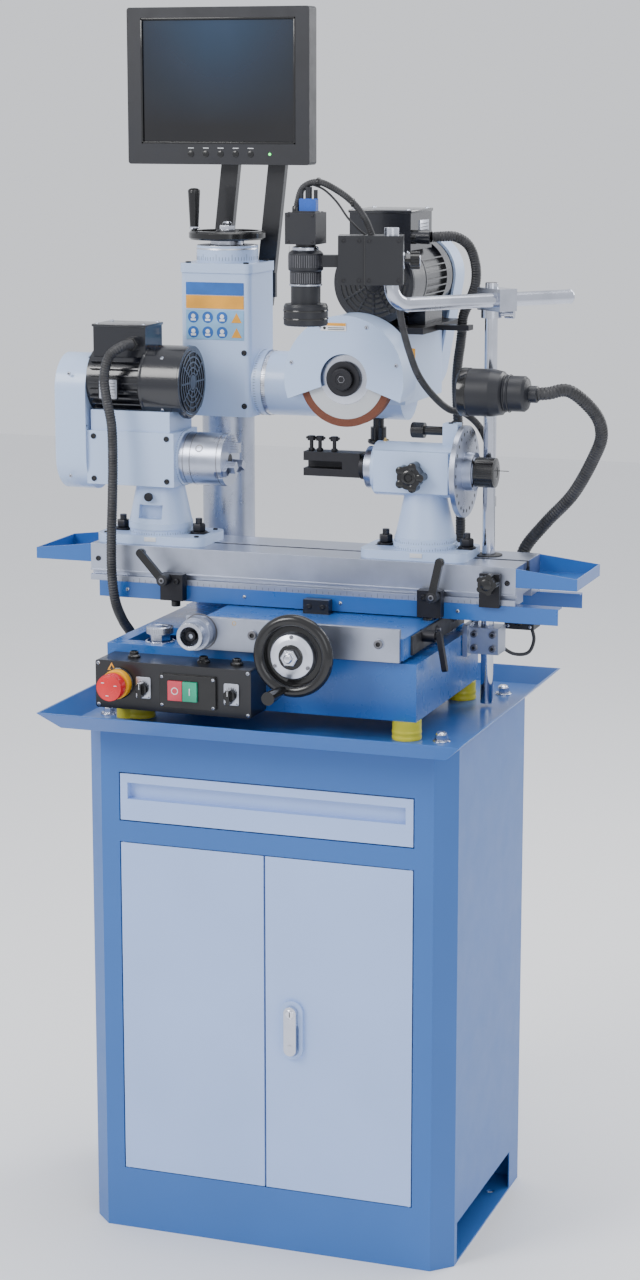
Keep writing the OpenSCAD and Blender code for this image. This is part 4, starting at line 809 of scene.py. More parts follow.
def build_table():
    piece = Piece("table_fittings", "table")
    for x, z in ((-352, 1050), (327, 1050)):
        piece.cap_screw((x, -15, z), -Y, 4.2, 1.5)
    for x in (-217, 209):
        shift = -10 if x < 0 else 10
        piece.cap_screw((x - shift * 0.9, -37, 1024), -Y, 4.6, 3.6)
        piece.lathe((x - shift * 0.4, -28, 993), -Z,
                    [(4, -1), (4, 1), (7.5, 1.5), (7.5, 9), (6.5, 10), (0, 10)], "gloss_black", 24)
    for x in (-300, -100, 60, 250):
        piece.pan_screw((x, -19, 1003), -Y, 3.2)
    for x in (-420, -400):
        piece.pan_screw((x if x < -410 else -385, 20, 1046), Z, 4)
    piece.hex_nut((-385, 30, 1046), Z, 9, 7, "black_oxide", 4)
    piece.hex_nut((360, 30, 1046), Z, 9, 7, "black_oxide", 4)
    for k in range(65):
        x = -330 + 10 * k
        if abs(x + 217) < 22 or abs(x - 209) < 22 or x > 280:
            continue
        piece.box((x - 0.2, -17.2, 1015.5), (x + 0.2, -16.8, 1019.5 if k % 5 else 1022), "dark_print_and_shade", 0)
    # Dark ring round the foot of the camera post: painted shadow of the post on the table, with painted
    # shade in the round hole the post stands in.
    piece.lathe((268, 86, 1074), Z, [(22, -0.4), (22, 1.6), (20.5, 2.2), (11.4, 2.2), (10.9, 1.2)],
                "rubber_and_shadow", 48)
    piece.make()

    piece = Piece("left_base_scale", "table")
    piece.ticks((-272, 55, 1088.4), Z, 50, 72, "dark_print_and_shade", size=(3, 0.45))
    piece.lathe((-272, 55, 1088), Z, [(50.6, -0.6), (50.6, 0.4), (49.8, 0.6)], "cover_paint", 72)
    for x, y in ((-338, 55), (-206, 55)):
        piece.hex_nut((x, y, 1091), Z, 11, 12.5, "black_oxide", 9)
        piece.lathe((x, y, 1088), Z, [(14, 0), (14, 2.6), (13.2, 3.2)], "black_oxide", 36)
    piece.box((-278, -1.2, 1079), (-258, 0.4, 1086), "white_print", 0.3)
    for x in (-350, -194):
        for y in (14, 96):
            piece.cap_screw((x, y, 1088), Z, 4, 2, "black_oxide")
    piece.make()

    piece = Piece("post_clamp_screws", "table")
    for x in (253, 283):
        for z in (930, 952):
            piece.cap_screw((x, 62, z), -Y, 5.5, 3.6, "dark_steel_and_shade")
    piece.cap_screw((235.5, 66, 930), -X, 5, 3, "dark_steel_and_shade")
    piece.cap_screw((235.5, 100, 930), -X, 5, 3, "dark_steel_and_shade")
    piece.make()

    for name, x, turn in (("left_stop_lever", -226, -42), ("right_stop_lever", 218, 12)):
        piece = Piece(name + "_boss", name, turned((x, 0, 1027.5), Y, turn))
        piece.lathe((x, -55, 1027.5), -Y, [(9.3, -17), (9.3, -1.5), (8, 0), (5.2, 0.4)], "black_plastic",
                    32)
        piece.cap_screw((x, -55.2, 1027.5), -Y, 4.6, 1.4, "dark_steel_and_shade")
        piece.lathe((x, -51, 1083), -Y, [(6.4, -8.4), (7.2, -5), (7.2, 0), (6.2, 1.2), (0, 1.8)],
                    "gloss_black", 28)
        piece.make()

    piece = Piece("table_clamp_face", "table_clamp_knob")
    piece.lathe((302, -46, 1051), -Y, [(9, -0.5), (9, 1.2), (7.6, 2), (0, 2)], "gloss_black", 32)
    piece.make()

    piece = Piece("post_cap", "camera_post")
    piece.lathe((268, 86, 1496), Z, [(10, -1), (9.6, 0.6), (8.8, 1), (0, 1)], "dark_steel_and_shade", 40)
    piece.lathe((268, 86, 1190), Z, [(10.5, 0), (11.8, 0.6), (11.8, 9), (10.5, 9.6)], "dark_steel_and_shade", 40)
    piece.make()


def build_lamp():
    route = [(302, 152, 985), (303, 152, 1030), (308, 151, 1074), (345, 143, 1121), (393, 124, 1172),
             (432, 97, 1236),
             (447, 76, 1273), (441, 50, 1308), (410, 20, 1342), (380, 7, 1339), (356, 5, 1337)]
    piece = Piece("lamp_neck", "table")
    piece.sweep(smooth_route(route, 8), 10.2, "rubber_and_shadow", 14, 1.0, 5)
    piece.lathe((302, 152, 985), Z, [(16, -1), (16, 5), (13, 8), (13, 22), (10.4, 24)], "black_plastic", 32)
    piece.lathe((356, 5, 1337), -X, [(10.4, -10), (13, -8), (13, 4)], "black_plastic", 32)
    piece.make()
    piece = Piece("lamp_face", "table")
    piece.lathe((254, 5, 1337), X, [(0, 0), (18, -0.6), (30.6, -1), (31, 2)], "frosted", 56)
    piece.lathe((247, 5, 1337), X, [(31.2, 0.4), (33, -0.8), (36.4, 0), (36.9, 2), (36.9, 12), (36.2, 13)],
                "gloss_black", 56)
    for k in range(7):
        piece.lathe((286 + 6 * k, 5, 1337), X,
                    [(34.2 if k < 3 else 28, -1.2), (35.2 if k < 3 else 29, 0),
                     (34.2 if k < 3 else 28, 1.2)], "black_plastic", 48)
    piece.make()
    piece = Piece("lamp_box_trim", "table")
    for x in (288, 324):
        for z in (954, 980):
            piece.pan_screw((x, 134, z), -Y, 2.6)
    piece.lathe((306, 134, 962), -Y, [(7, -1), (7, 2), (5.5, 3), (4, 3)], "gloss_black", 24)
    piece.box((303.5, 129.5, 957), (308.5, 132, 967), "gloss_black", 0.8)
    cable = smooth_route([(322, 150, 951), (326, 152, 930), (318, 147, 910), (298, 132, 910),
                          (281, 114, 926), (276, 105, 936)], 8)
    piece.sweep(cable, 2.8, "rubber_and_shadow", 10)
    piece.make()


# ---- optics ----

def build_optics():
    ax, ay = 41.4, -125
    piece = Piece("camera_trim", "optics")
    for z, r in ((1464, 33.4), (1452, 33.4)):
        piece.lathe((ax, ay, z), Z, [(r, -1.4), (r + 0.5, 0), (r, 1.4)], "gloss_black", 56)
    for k in range(24):
        angle = math.tau * k / 24
        piece.lathe((ax + 27.5 * math.cos(angle), ay + 27.5 * math.sin(angle), 1442), -Z,
                    [(1.9, -0.6), (1.9, 0.1), (1.2, 0.7), (0, 0.9)], "frosted", 12)
    piece.lathe((ax, ay, 1442), -Z, [(20, -0.4), (20, 0.3), (18, 0.6), (17, -0.2)], "aluminium", 48)
    piece.lathe((ax, ay, 1441.4), -Z, [(17, 0), (9, -1.2), (0, -1.4)], "lens", 40)
    piece.ticks((ax, ay, 1505), Z, 23.5, 44, "dark_steel_and_shade", size=(15, 0.9), every=99)
    piece.ticks((ax, ay, 1528), Z, 26, 48, "dark_steel_and_shade", size=(18, 0.8), every=99)
    piece.lathe((ax, ay, 1502), Z, [(22.4, -2), (24.4, -1), (24.4, 1), (22.4, 2)], "zinc", 48)
    piece.lathe((ax, ay, 1554), Z, [(18, -2), (19.6, -1), (19.6, 3), (18, 4)], "zinc", 48)
    piece.cap_screw((ax - 24, ay, 1596), -X, 2.4, 1.6)
    for x in (-19, 19):
        for y in (-19, 19):
            piece.cap_screw((ax + x, ay + y, 1608), Z, 2.1, 0.9)
            piece.cap_screw((ax + x, ay - 24, 1585 + y), -Y, 2.1, 0.7)
    piece.lathe((28, -128, 1607), Z, [(6.5, 0), (6.5, 8), (5.6, 10)], "gloss_black", 24)
    piece.make()

    piece = Piece("camera_wires", "optics")
    sleeve = [(28, -128, 1604), (30, -128, 1622), (38, -126, 1644), (60, -120, 1652), (86, -112, 1640),
              (108, -104, 1622), (124, -98, 1600), (134, -92, 1574)]
    wire = [(46, -126, 1650), (66, -118, 1642), (84, -110, 1624), (100, -104, 1600), (114, -98, 1584),
            (126, -94, 1574)]
    drop = [(164, -72, 1496), (166, -66, 1480), (170, -56, 1440), (176, -40, 1400), (182, -10, 1360),
            (190, 40, 1325),
            (202, 84, 1300), (222, 104, 1292), (246, 108, 1270), (262, 104, 1235), (268, 102, 1190),
            (268, 102, 1150)]
    piece.sweep(smooth_route(sleeve, 8), 5.2, "rubber_and_shadow", 14, 0.6, 3.2)
    piece.sweep(smooth_route(wire, 6), 1.6, "rubber_and_shadow", 8)
    piece.sweep(smooth_route(drop, 8), 5.6, "rubber_and_shadow", 14, 0.6, 3.2)
    for x, y, z in ((60, -120, 1652), (108, -104, 1622), (182, -10, 1360), (246, 108, 1270)):
        piece.lathe((x, y, z), X, [(5.6, -2), (6.6, -1.6), (6.6, 1.6), (5.6, 2)], "gloss_black", 20)
    piece.lathe((268, 102, 1150), Z, [(6.6, -1), (6.6, 14), (5.6, 15)], "gloss_black", 20)
    piece.make(["camera_cable"])

    along = turned((163.5, -90, 0), Z, 16)
    piece = Piece("bracket_trim", "optics", along)
    for x in (-70, -47):
        for z in (1510, 1568):
            piece.cap_screw((163.5 + x, -114, z), -Y, 3.4, 1.2)
    for x in (-32, 12):
        for z in (1510, 1568):
            piece.cap_screw((163.5 + x, -118, z), -Y, 3.4, 1.2)
    piece.box((163.5 - 39.2, -118.6, 1503), (163.5 - 38, -62, 1575), "dark_print_and_shade", 0)
    piece.lathe((163.5 + 18, -90, 1538), X, [(13, -1), (13, 1), (11, 2)], "zinc", 36)
    piece.make()
    piece = Piece("focus_cap", "focus_knob", along)
    piece.lathe((163.5 + 42, -90, 1538), X, [(8, -0.5), (8, 0.8), (6.6, 1.4), (0, 1.4)], "zinc", 32)
    piece.make()

    turn = math.radians(52)
    end = Vector((288.5 + 131 * math.cos(turn), 70 + 131 * math.sin(turn), 1472))
    direction = Vector((math.cos(turn), math.sin(turn), 0))
    piece = Piece("tube_caps", "optics")
    piece.lathe(end, direction, [(11, -3), (11.5, -1), (10.8, 0.6), (0, 0.8)], "zinc", 40)
    piece.cap_screw((268, 60, 1472), -Y, 5, 3, "dark_steel_and_shade")
    piece.make()


# ---- workheads ----

def fan_grid(piece, at, axis, radius, material="motor_black", rings=5, slots=10):
    """Fan cowl's face: rings and spokes standing a little off a dark disc."""
    piece.lathe(at, axis, [(radius, 0.2), (0, 0.2)], "dark_print_and_shade", 48)
    for k in range(rings):
        r = radius * (0.3 + 0.68 * k / (rings - 1))
        piece.lathe(at, axis, [(r - 1.6, 0), (r - 1.6, 1.6), (r + 1.2, 1.6), (r + 1.2, 0)], material, 56)
    turn = Vector(axis).to_track_quat("Z", "Y").to_matrix().to_4x4()
    for k in range(slots):
        part = bmesh.new()
        bmesh.ops.create_cube(part, size=1)
        bmesh.ops.scale(part, vec=(radius * 0.72, 3.0, 1.6), verts=part.verts)
        bmesh.ops.translate(part, vec=(radius * 0.62, 0, 0.9), verts=part.verts)
        part.transform(Matrix.Translation(at) @ turn @ Matrix.Rotation(math.tau * k / slots, 4, "Z"))
        piece.take(part, material)
    piece.lathe(at, axis, [(radius * 0.24, 0), (radius * 0.24, 1.8), (0, 2.2)], material, 32)


def build_left_head():
    y0, z0 = 55, 1330
    piece = Piece("left_motor_fins", "left_head")
    for k in range(30):
        angle = math.tau * k / 30
        if -0.55 < math.cos(angle - math.pi / 2) < 1.01 and math.sin(angle) > 0.72:
            continue
        if math.sin(angle) < -0.78:
            continue
        part = bmesh.new()
        bmesh.ops.create_cube(part, size=1)
        bmesh.ops.scale(part, vec=(84, 2.2, 7), verts=part.verts)
        bmesh.ops.translate(part, vec=(0, 0, 54.5), verts=part.verts)
        part.transform(Matrix.Translation((-328, y0, z0)) @ Matrix.Rotation(angle - math.pi / 2, 4, "X"))
        piece.take(part, "motor_black")
    piece.lathe((-280, y0, z0), -X, [(58, 0), (58.6, 2), (58.6, 5), (57, 6)], "motor_black", 64)
    fan_grid(piece, (-215.8, y0, z0), X, 50)
    piece.lathe((-216, y0, z0), X, [(58.4, -8), (58.4, -3), (55, 0.4), (51, 0.4)], "motor_black", 64)
    for k in range(4):
        angle = math.radians(45 + 90 * k)
        piece.pan_screw((-250, y0 + 58 * math.cos(angle), z0 + 58 * math.sin(angle)),
                        (0, math.cos(angle), math.sin(angle)), 3)
    piece.box((-373, 19, 1417), (-279, 91, 1421.5), "motor_black", 1.6)
    for x in (-366, -286):
        for y in (26, 84):
            piece.pan_screw((x, y, 1421.5), Z, 3.2)
    piece.plate(rounded(-352, -318, 1304, 1338, 2), -5.4, -3.2, "y", "motor_black")
    piece.plate(rounded(-350, -320, 1306, 1336, 1.5), -5.9, -5.3, "y", "aluminium", 0)
    for row in range(5):
        piece.box((-347, -6.1, 1310 + 5 * row), (-323, -5.8, 1310.9 + 5 * row), "dark_print_and_shade", 0)
    piece.lathe((-300, 9, 1392), -Y, [(11.4, -2), (11.4, 3), (10, 4), (8.4, 4)], "gloss_black", 6)
    piece.make()

    piece = Piece("left_head_trim", "left_head")
    for x in (-366, -240):
        for z in (1176, 1244):
            piece.cap_screw((x, 5, z), -Y, 4.4, 1.8)
    for z in (1179, 1343):
        piece.pan_screw((-404, -1.4, z), -Y, 3.2)
    piece.box((-431, 2, 1259), (-376, 3.4, 1261.4), "dark_print_and_shade", 0)
    piece.lathe((-228, 55, 1209), X, [(44, -1), (44, 2.5), (42, 3.5), (30, 3.5)], "cover_paint", 64)
    for k in range(6):
        angle = math.tau * (k + 0.5) / 6
        piece.cap_screw((-225.2, 55 + 37 * math.cos(angle), 1209 + 37 * math.sin(angle)), X, 3.4, 1.4)
    piece.ticks((-228, 55, 1209), X, 44.1, 60, "dark_print_and_shade", size=(1.6, 0.4), every=5)
    piece.lathe((-272, 3.6, 1150), -Y, [(7, -3), (7, 1), (5.5, 2), (0, 2)], "black_oxide", 24)
    piece.make()

    piece = Piece("chuck_trim", "chuck")
    for turn in (30, 150, 270):
        angle = math.radians(turn)
        spot = Vector((-190, 55 + 41.6 * math.cos(angle), 1209 + 41.6 * math.sin(angle)))
        out = Vector((0, math.cos(angle), math.sin(angle)))
        piece.lathe(spot, out, [(6.4, -0.4), (6.4, 0.5), (4.6, 0.5), (4.2, -1)], "dark_steel_and_shade", 24)
        # Dark square at the bottom of each key socket: painted shade in the socket.
        piece.lathe(spot, out, [(4.3, 0.2), (0, 0.2)], "dark_print_and_shade", 4)
    for x in (-217, -205, -160):
        piece.lathe((x, 55, 1209), X, [(42.1, -0.7), (42.3, 0), (42.1, 0.7)], "dark_steel_and_shade", 64)
    piece.lathe((-152.2, 55, 1209), X, [(41.8, -1.8), (41.2, -0.3), (38, 0.3), (12, 0.3), (10, -1)],
                "turned_steel", 64)
    # Dark disc over the chuck's centre bore: painted shade in the bore.
    piece.lathe((-152, 55, 1209), X, [(9.3, -0.6), (9.3, 0.4), (0, -0.4)], "dark_print_and_shade", 32)
    for turn in (90, 210, 330):
        for r in (18, 22, 26, 30, 34):
            part = bmesh.new()
            bmesh.ops.create_cube(part, size=1)
            bmesh.ops.scale(part, vec=(12, 12.2, 0.6), verts=part.verts)
            bmesh.ops.translate(part, vec=(-143 if r < 28 else -150, 0, r), verts=part.verts)
            part.transform(Matrix.Translation((0, 55, 1209)) @ Matrix.Rotation(math.radians(turn), 4, "X")
                           @ Matrix.Rotation(-math.pi / 2, 4, "X"))
            piece.take(part, "dark_steel_and_shade")
    piece.make()

    route = [(-300, 12, 1392), (-300, 2, 1392), (-306, -14, 1390), (-322, -26, 1376), (-330, -30, 1345),
             (-326, -32, 1310),
             (-317, -34, 1268), (-314, -38, 1213), (-314, -42, 1150), (-315, -46, 1086), (-315, -46, 1030),
             (-314, -36, 985), (-313, -10, 950), (-312, 18, 925), (-311, 36, 900), (-311, 42, 880)]
    piece = Piece("left_conduit_skin", "left_head")
    piece.sweep(smooth_route(route, 8), 8.3, "rubber_and_shadow", 16, 1.1, 4.2)
    piece.lathe((-311, 42, 881), -Z,
                [(8.4, -14), (11, -13), (11, -2), (13, -1), (13, 10), (10.5, 12), (10.5, 24), (8, 25),
                 (0, 25)], "gloss_black", 32)
    piece.make(["left_conduit"])


def build_right_head():
    piece = Piece("right_head_trim", "right_head")
    piece.ticks((176, 50, 1088.4), Z, 50, 72, "dark_print_and_shade", size=(3, 0.45))
    piece.ticks((176, 50, 1098), Z, 48, 72, "dark_print_and_shade", size=(2.6, 0.4))
    for x in (110, 242):
        piece.hex_nut((x, 55, 1091), Z, 11, 12.5, "black_oxide", 9)
        piece.lathe((x, 55, 1088), Z, [(14, 0), (14, 2.6), (13.2, 3.2)], "black_oxide", 36)
    piece.box((168, -6.2, 1079), (188, -4.8, 1086), "white_print", 0.3)
    piece.lathe((140, 14, 1236), -Y, [(3.4, -4), (3.4, 1), (0, 1.4)], "dark_print_and_shade", 20)
    for x in (110, 214):
        piece.lathe((x, 50, 1250.5), Z, [(4, -1), (4, 1.4), (1.8, 2.4), (1.8, 5), (0, 5.6)], "brass", 20)
    piece.lathe((98, 50, 1209), -X, [(42.2, -1), (41, 0.6), (34, 0.8)], "head_paint", 64)
    piece.lathe((232, 50, 1209), X, [(42.2, -1), (41, 0.4), (36, 0.4)], "dark_steel_and_shade", 64)
    piece.cap_screw((200, 14, 1188), -Y, 4, 1.6)
    for y in (42, 58):
        piece.cap_screw((218, y, 1283), Z, 3.6, 2)
    piece.make()

    piece = Piece("index_scale", "index_spindle")
    for side, x in ((-X, 234.1), (X, 242.1)):
        turn = side.to_track_quat("Z", "Y").to_matrix().to_4x4()
        for k in range(72):
            part = bmesh.new()
            bmesh.ops.create_cube(part, size=1)
            length = 3.4 if k % 6 else 5.6
            bmesh.ops.scale(part, vec=(length, 0.4, 0.15), verts=part.verts)
            bmesh.ops.translate(part, vec=(70 - length / 2, 0, 0), verts=part.verts)
            part.transform(Matrix.Translation((x, 50, 1209)) @ turn
                           @ Matrix.Rotation(math.tau * k / 72, 4, "Z"))
            piece.take(part, "dark_print_and_shade")
        # The index plate's holes are dark discs on its faces: painted shade in the holes.
        for k in range(24):
            angle = math.tau * k / 24
            if k == 6:
                continue
            piece.lathe((x, 50 + 61 * math.cos(angle), 1209 + 61 * math.sin(angle)), side,
                        [(3.2, -0.2), (3.2, 0.2), (0, 0.2)], "dark_print_and_shade", 16)
    piece.lathe((288.3, 50, 1209), X, [(23, -2), (22.4, -0.4), (20, 0.6), (10, 0.6), (9, -0.4), (0, -0.4)],
                "gloss_black", 48)
    piece.ticks((262, 50, 1209), X, 23, 40, "black_plastic", size=(24, 1.1), every=99)
    for k in range(4):
        angle = math.radians(45 + 90 * k)
        piece.cap_screw((256.4, 50 + 26.5 * math.cos(angle), 1209 + 26.5 * math.sin(angle)), X, 3, 1)
        piece.cap_screw((84, 50 + 26 * math.cos(angle), 1209 + 26 * math.sin(angle)), -X, 3.6, 1.4)
    piece.lathe((84, 50, 1209), -X, [(33.2, -2), (32.4, 0.2), (30, 0.4), (21, 0.4)], "zinc", 48)
    for x in (-12, 2, 26):
        piece.lathe((x, 50, 1254), Z, [(6.4, -7), (6.4, -1), (5.4, 0.2), (0, 0.4)], "black_oxide", 24)
        piece.box((x - 9, 48, 1249), (x + 9, 52, 1253), "black_oxide", 1.4)
        piece.hex_nut((x, 50, 1231), Z, 5.4, 4, "black_oxide")
    piece.make()

    piece = Piece("star_knob_hub", "head_clamp_knob")
    piece.lathe((168, -14, 1204), -Y, [(12, -1), (11.6, 1.2), (9, 2.6), (6.6, 2.6)], "gloss_black", 40)
    piece.lathe((168, -14, 1204), -Y, [(6.6, 2.6), (6.2, 0), (0, 0)], "dark_steel_and_shade", 6)
    for k in range(5):
        angle = math.radians(72 * k)
        piece.lathe((168 + 17.3 * math.cos(angle), -14, 1204 - 17.3 * math.sin(angle)), -Y,
                    [(6.6, -1.4), (5.8, 0.6), (3.5, 1.5), (0, 1.8)], "gloss_black", 24)
    piece.make()

    piece = Piece("index_pin_knurl", "index_pin")
    piece.ticks((155, 50, 1270), X, 12, 28, "black_plastic", size=(17, 1.0), every=99)
    piece.lathe((154, 50, 1270), -X, [(12, -1), (11, 0.8), (0, 1.2)], "gloss_black", 32)
    piece.make()


# ---- tower and screen ----

def build_tower():
    piece = Piece("tower_trim", "tower")
    piece.ticks((-212, 203, 1516), Z, 50, 60, "dark_print_and_shade", size=(6, 0.5))
    piece.lathe((-212, 203, 1539), Z, [(50.4, -6), (49.4, 0.6), (46, 1), (29, 1), (28, 0)], "aluminium", 72)
    for x in (-262, -162):
        for y in (157, 249):
            piece.cap_screw((x, y, 1512), Z, 4.6, 2.4)
    front = 146.5
    piece.plate(rounded(-262, -162, 1462, 1482, 1), front - 0.8, front - 0.2, "y", "blue_print", 0)
    piece.plate(rounded(-262, -162, 1440, 1461, 1), front - 0.8, front - 0.2, "y", "orange_print", 0)
    piece.plate(rounded(-262, -162, 1390, 1438, 1), front - 0.8, front - 0.2, "y", "label_blue", 0)
    for column in range(4):
        for row in range(2):
            cx, cz = -249.5 + 25 * column, 1402 + 24 * row
            if column == 3:
                piece.plate([(cx - 9, cz - 8), (cx + 9, cz - 8), (cx, cz + 8)], front - 1.1, front - 0.7,
                            "y", "orange_print", 0)
                continue
            piece.lathe((cx, front - 0.7, cz), -Y, [(9.4, -0.2), (9.4, 0.3), (0, 0.3)], "blue_print", 28)
            piece.lathe((cx, front - 1.0, cz + 1.5), -Y, [(3.6, -0.1), (3.6, 0.2), (0, 0.2)],
                        "white_print", 20)
            piece.box((cx - 4.4, front - 1.2, cz - 6), (cx + 4.4, front - 0.9, cz - 2.6), "white_print", 0)
    for z in (1284, 1370):
        piece.cap_screw((-262, front + 0.2, z), -Y, 4.6, 1.8)
        piece.cap_screw((-162, front + 0.2, z), -Y, 4.6, 1.8)
    piece.lathe((-137.2, 203, 1318), -X, [(53.4, -1), (53.6, 6), (53, 12)], "cover_paint", 72)
    piece.ticks((-149, 203, 1318), X, 53.3, 72, "dark_print_and_shade", size=(4, 0.5))
    piece.make()

    piece = Piece("lift_dial", "lift_handwheel")
    piece.lathe((-212, 203, 1540.6), Z, [(27.4, 0), (27.4, 6), (24, 7)], "aluminium", 56)
    piece.lathe((-212, 203, 1562), Z, [(19, -1), (18, 1.4), (12, 2)], "black_plastic", 48)
    piece.lathe((-212, 203, 1562), Z, [(13, 0), (13, 8), (12, 9), (8, 9)], "chrome", 6)
    piece.lathe((-212, 203, 1570), Z, [(8.2, 0), (7.6, 4), (5, 7), (0, 8)], "chrome", 32)
    angle = math.radians(199)
    spot = Vector((-212 + 53.5 * math.cos(angle), 203 + 53.5 * math.sin(angle), 1626.8))
    piece.lathe(spot, Z, [(10.1, -3), (9.4, 0.8), (6, 3), (0, 3.6)], "gloss_black", 32)
    piece.lathe(spot - Vector((0, 0, 60)), Z, [(8, -2), (8.6, 0), (7.6, 1.6)], "chrome", 32)
    piece.make()

    piece = Piece("screen_arm_bolts", "tower")
    for x in (-250, -168):
        for z, y in ((1470, 262), (1500, 266)):
            piece.hex_nut((x, y - 2, z), -Y, 6, 4, "zinc")
    piece.make()


def build_monitor():
    piece = Piece("screen_panel", "monitor")
    front = 222
    piece.plate(rounded(-366, -104, 1704, 1896, 1), front + 2.6, front + 3.8, "y", "screen", 0)
    for low, high in (((-369, front - 0.6, 1700), (-366, front + 1, 1900)),
                      ((-104, front - 0.6, 1700), (-101, front + 1, 1900)),
                      ((-369, front - 0.6, 1897), (-101, front + 1, 1900)),
                      ((-369, front - 0.6, 1700), (-101, front + 1, 1703))):
        piece.box(low, high, "gloss_black", 0.4)
    for k in range(5):
        x = -282 + 26 * k
        piece.lathe((x, front, 1684), -Y, [(5.4, -0.6), (5.2, 0.8), (3, 1.3), (0, 1.4)], "gloss_black", 28)
        piece.box((x - 5, front - 0.3, 1692.6), (x + 5, front + 0.2, 1693.8), "white_print", 0)
    piece.lathe((-145, front, 1684), -Y, [(2.4, -0.4), (2, 0.8), (0, 1.2)], "led_green", 20)
    back = 260
    for k in range(14):
        x = -320 + 13 * k
        piece.box((x, back - 4.6, 1842), (x + 6, back - 3.4, 1882), "dark_print_and_shade", 0)
    for x in (-380, -90):
        for z in (1680, 1904):
            piece.pan_screw((x, 256, z), Y, 3)
    for x in (-240.5, -112.5):
        side = -X if x < -200 else X
        piece.lathe((x, 274.5, 1794), side, [(9, -3), (11, -2), (11, 8), (9, 10), (0, 10)],
                    "black_plastic", 5)
    for x in (-215, -140):
        piece.pan_screw((x, 260, 1794), Y, 3)
    piece.make()


# ---- grinding head ----

def build_grinding_head():
    piece = Piece("wheel_faces", "wheel_spindle")
    for y, way in ((11, -Y), (29, Y)):
        piece.lathe((57, y, 1350), way, [(63, -0.5), (63, 0.3), (62, 0.5), (22, 0.5)], "cast_aluminium", 72)
        piece.lathe((57, y, 1350), way, [(40, 0), (40, 1.2), (38.5, 1.8), (20, 1.8)], "zinc", 64)
    piece.lathe((57, -1, 1350), -Y, [(27.3, -6), (27.3, -1.6), (26, 0.4), (19, 0.7), (17, 0.3)],
                "black_oxide", 56)
    piece.lathe((57, -9, 1350), -Y,
                [(17.3, -5), (17, -0.8), (15.6, 0.6), (9.4, 0.7), (8.6, -1.6), (0, -1.6)], "black_oxide",
                48)
    piece.lathe((57, -8, 1350), -Y, [(7.4, -1), (7.2, 0.6), (5, 1.2), (4.6, 0.4), (0, 0.4)], "dark_steel_and_shade",
                6)
    piece.make()

    piece = Piece("guard_trim", "tilt_arm")
    cx, cz = 57, 1350
    for turn in (15, 65, 115, 165):
        angle = math.radians(turn)
        piece.pan_screw((cx + 88 * math.cos(angle), 2, cz + 88 * math.sin(angle)), -Y, 3.4)
    piece.plate(rounded(20, 62, 1423, 1436, 1), 1.2, 1.8, "y", "white_print", 0)
    piece.box((21, 0.9, 1431), (61, 1.4, 1435.4), "orange_print", 0)
    for row in range(2):
        piece.box((32, 0.9, 1425 + 2.6 * row), (59, 1.3, 1426 + 2.6 * row), "dark_print_and_shade", 0)
    piece.lathe((26.5, 1.2, 1427.4), -Y, [(2.4, 0), (2.4, 0.3), (0, 0.3)], "dark_print_and_shade", 16)
    piece.plate(rounded(138, 152, 1366, 1394, 1), 66.5, 67.4, "y", "orange_print", 0)
    piece.make()

    piece = Piece("arm_trim", "tilt_arm")
    piece.lathe((-137, 203, 1318), X, [(52.4, 0), (52.6, 4), (52.2, 8)], "aluminium", 72)
    piece.ticks((-136, 203, 1318), X, 52.5, 90, "dark_print_and_shade", size=(4, 0.5))
    for y in (120, 240):
        piece.cap_screw((67, y, 1424), Z, 4, 2)
    piece.lathe((-58, 138, 1318), -Y, [(10, -2), (10, 1), (8, 2), (0, 2)], "black_oxide", 32)
    piece.hex_nut((-58, 136, 1318), -Y, 8, 5, "black_oxide", 4)
    for x in (14, 120):
        for y in (84, 276):
            piece.cap_screw((x + 8, y + 4, 1424), Z, 4.4, 3)
    piece.lathe((57, 68, 1350), -Y, [(50.4, -4), (49.6, 0.4), (44, 0.8)], "cover_paint", 72)
    piece.lathe((48, 203, 1226), -Z, [(17, -6), (17.6, -2), (15, 1), (0, 1.5)], "gloss_black", 36)
    piece.make()

    piece = Piece("motor_trim", "tilt_arm")
    for k in range(36):
        angle = math.tau * k / 36
        if math.sin(angle) > 0.62 or math.sin(angle) < -0.86:
            continue
        part = bmesh.new()
        bmesh.ops.create_cube(part, size=1)
        bmesh.ops.scale(part, vec=(8, 108, 2.2), verts=part.verts)
        bmesh.ops.translate(part, vec=(60.5, 0, 0), verts=part.verts)
        part.transform(Matrix.Translation((83, 195, 1493)) @ Matrix.Rotation(-angle, 4, "Y"))
        piece.take(part, "motor_black")
    fan_grid(piece, (83, 69.6, 1493), -Y, 56, slots=12, rings=6)
    piece.lathe((83, 70, 1493), -Y, [(65.4, -10), (65.4, -4), (62, -0.2), (58, 0.6), (56, 0.6)],
                "motor_black", 72)
    piece.lathe((83, 140, 1493), -Y, [(65, -1), (65.8, 0), (65.8, 5), (65, 6)], "motor_black", 72)
    piece.box((29, 104, 1598), (133, 218, 1603), "motor_black", 2)
    for x in (37, 125):
        for y in (112, 210):
            piece.pan_screw((x, y, 1603), Z, 3.4)
    piece.box((130.8, 150, 1556), (132.6, 196, 1586), "aluminium", 0.3)
    for row in range(5):
        piece.box((132.4, 154, 1560 + 5 * row), (132.9, 192, 1561 + 5 * row), "dark_print_and_shade", 0)
    piece.lathe((160, 118, 1562), X, [(12.4, -30), (12.4, -22), (10.5, -20), (10.5, -2), (9, 1)],
                "gloss_black", 6)
    for k in range(4):
        angle = math.radians(45 + 90 * k)
        piece.pan_screw((83 + 65 * math.cos(angle), 100, 1493 + 65 * math.sin(angle)),
                        (math.cos(angle), 0, math.sin(angle)), 3)
        piece.cap_screw((83 + 55 * math.cos(angle), 280, 1493 + 55 * math.sin(angle)), Y, 4, 2)
    piece.make()

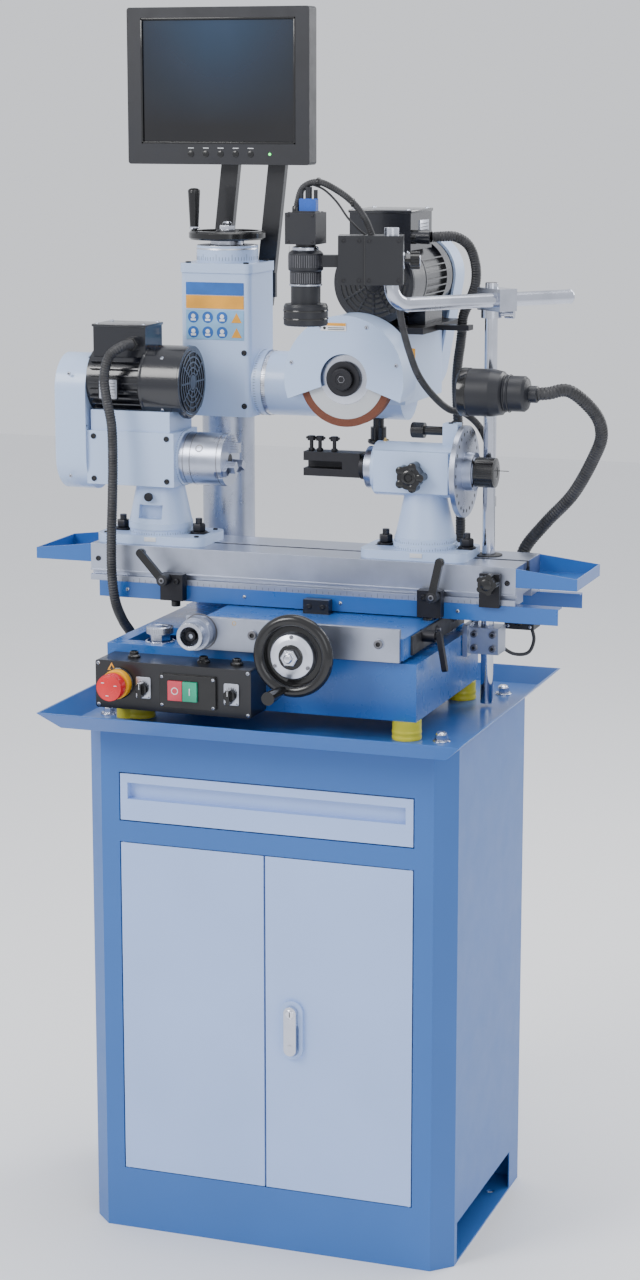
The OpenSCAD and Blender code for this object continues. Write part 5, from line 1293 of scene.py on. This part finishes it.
    piece = Piece("belt_cover_trim", "tilt_arm")
    for x, z in ((57, 1292), (83, 1551), (20, 1420), (122, 1424)):
        piece.pan_screw((x, 342, z), Y, 4)
    piece.plate(circle(70, 1421, 16), 341.6, 342.6, "y", "cover_paint")
    piece.make()

    route = [(163, 118, 1562), (176, 122, 1563), (196, 134, 1562), (212, 150, 1548), (220, 160, 1520),
             (219, 166, 1490), (208, 170, 1460), (198, 172, 1438), (196, 172, 1416)]
    piece = Piece("motor_conduit_skin", "tilt_arm")
    piece.sweep(smooth_route(route, 8), 8.3, "rubber_and_shadow", 16, 1.1, 4.2)
    piece.make(["motor_conduit"])

    route = [(196, 172, 1413.5), (193, 173, 1390), (189, 175, 1365), (187, 175, 1330), (190, 175, 1270),
             (194, 175, 1200), (196, 175, 1100), (196, 175, 1000), (196, 175, 900), (196, 175, 740)]
    piece = Piece("head_conduit_skin", "tower")
    piece.sweep(smooth_route(route, 12), 8.3, "rubber_and_shadow", 16, 1.1, 4.2)
    piece.make(["head_conduit"],
               blend=("tower", "tilt_arm", Vector((0.190, 0.175, 1.270)), Vector((0.195, 0.172, 1.400))))


# ---- the whole scene ----

def make_floor():
    mesh = bpy.data.meshes.new("floor")
    part = bmesh.new()
    bmesh.ops.create_grid(part, x_segments=2, y_segments=2, size=9)
    part.to_mesh(mesh)
    part.free()
    floor = bpy.data.objects.new("floor", mesh)
    bpy.context.scene.collection.objects.link(floor)
    s = Shade("floor_white")
    tone = s.mix(s.noise(2, 2), (0.88, 0.885, 0.90), (0.91, 0.915, 0.925))
    s.tree.links.new(s.surface(Base_Color=tone, Roughness=0.6), s.out.inputs["Surface"])
    mesh.materials.append(s.material)


def main():
    set_camera()
    set_world(1.0)
    area_light("key", (-2.2, -3.0, 3.4), (0, 0, 1.1), (1.8, 1.8), 120, (1.0, 0.99, 0.97))
    area_light("fill", (2.6, -3.4, 2.4), (0, 0, 1.0), (2.0, 2.6), 32, (0.95, 0.98, 1.0))
    area_light("top", (0.3, 0.6, 4.2), (0, 0, 1.0), (2.4, 2.4), 60)
    area_light("rim", (1.8, 2.6, 2.6), (0, 0, 1.2), (1.2, 1.8), 50)
    make_floor()
    finish_nodes()
    for build in (build_stand, build_slides, build_table, build_lamp, build_optics, build_left_head,
                  build_right_head,
                  build_tower, build_monitor, build_grinding_head):
        build()


main()
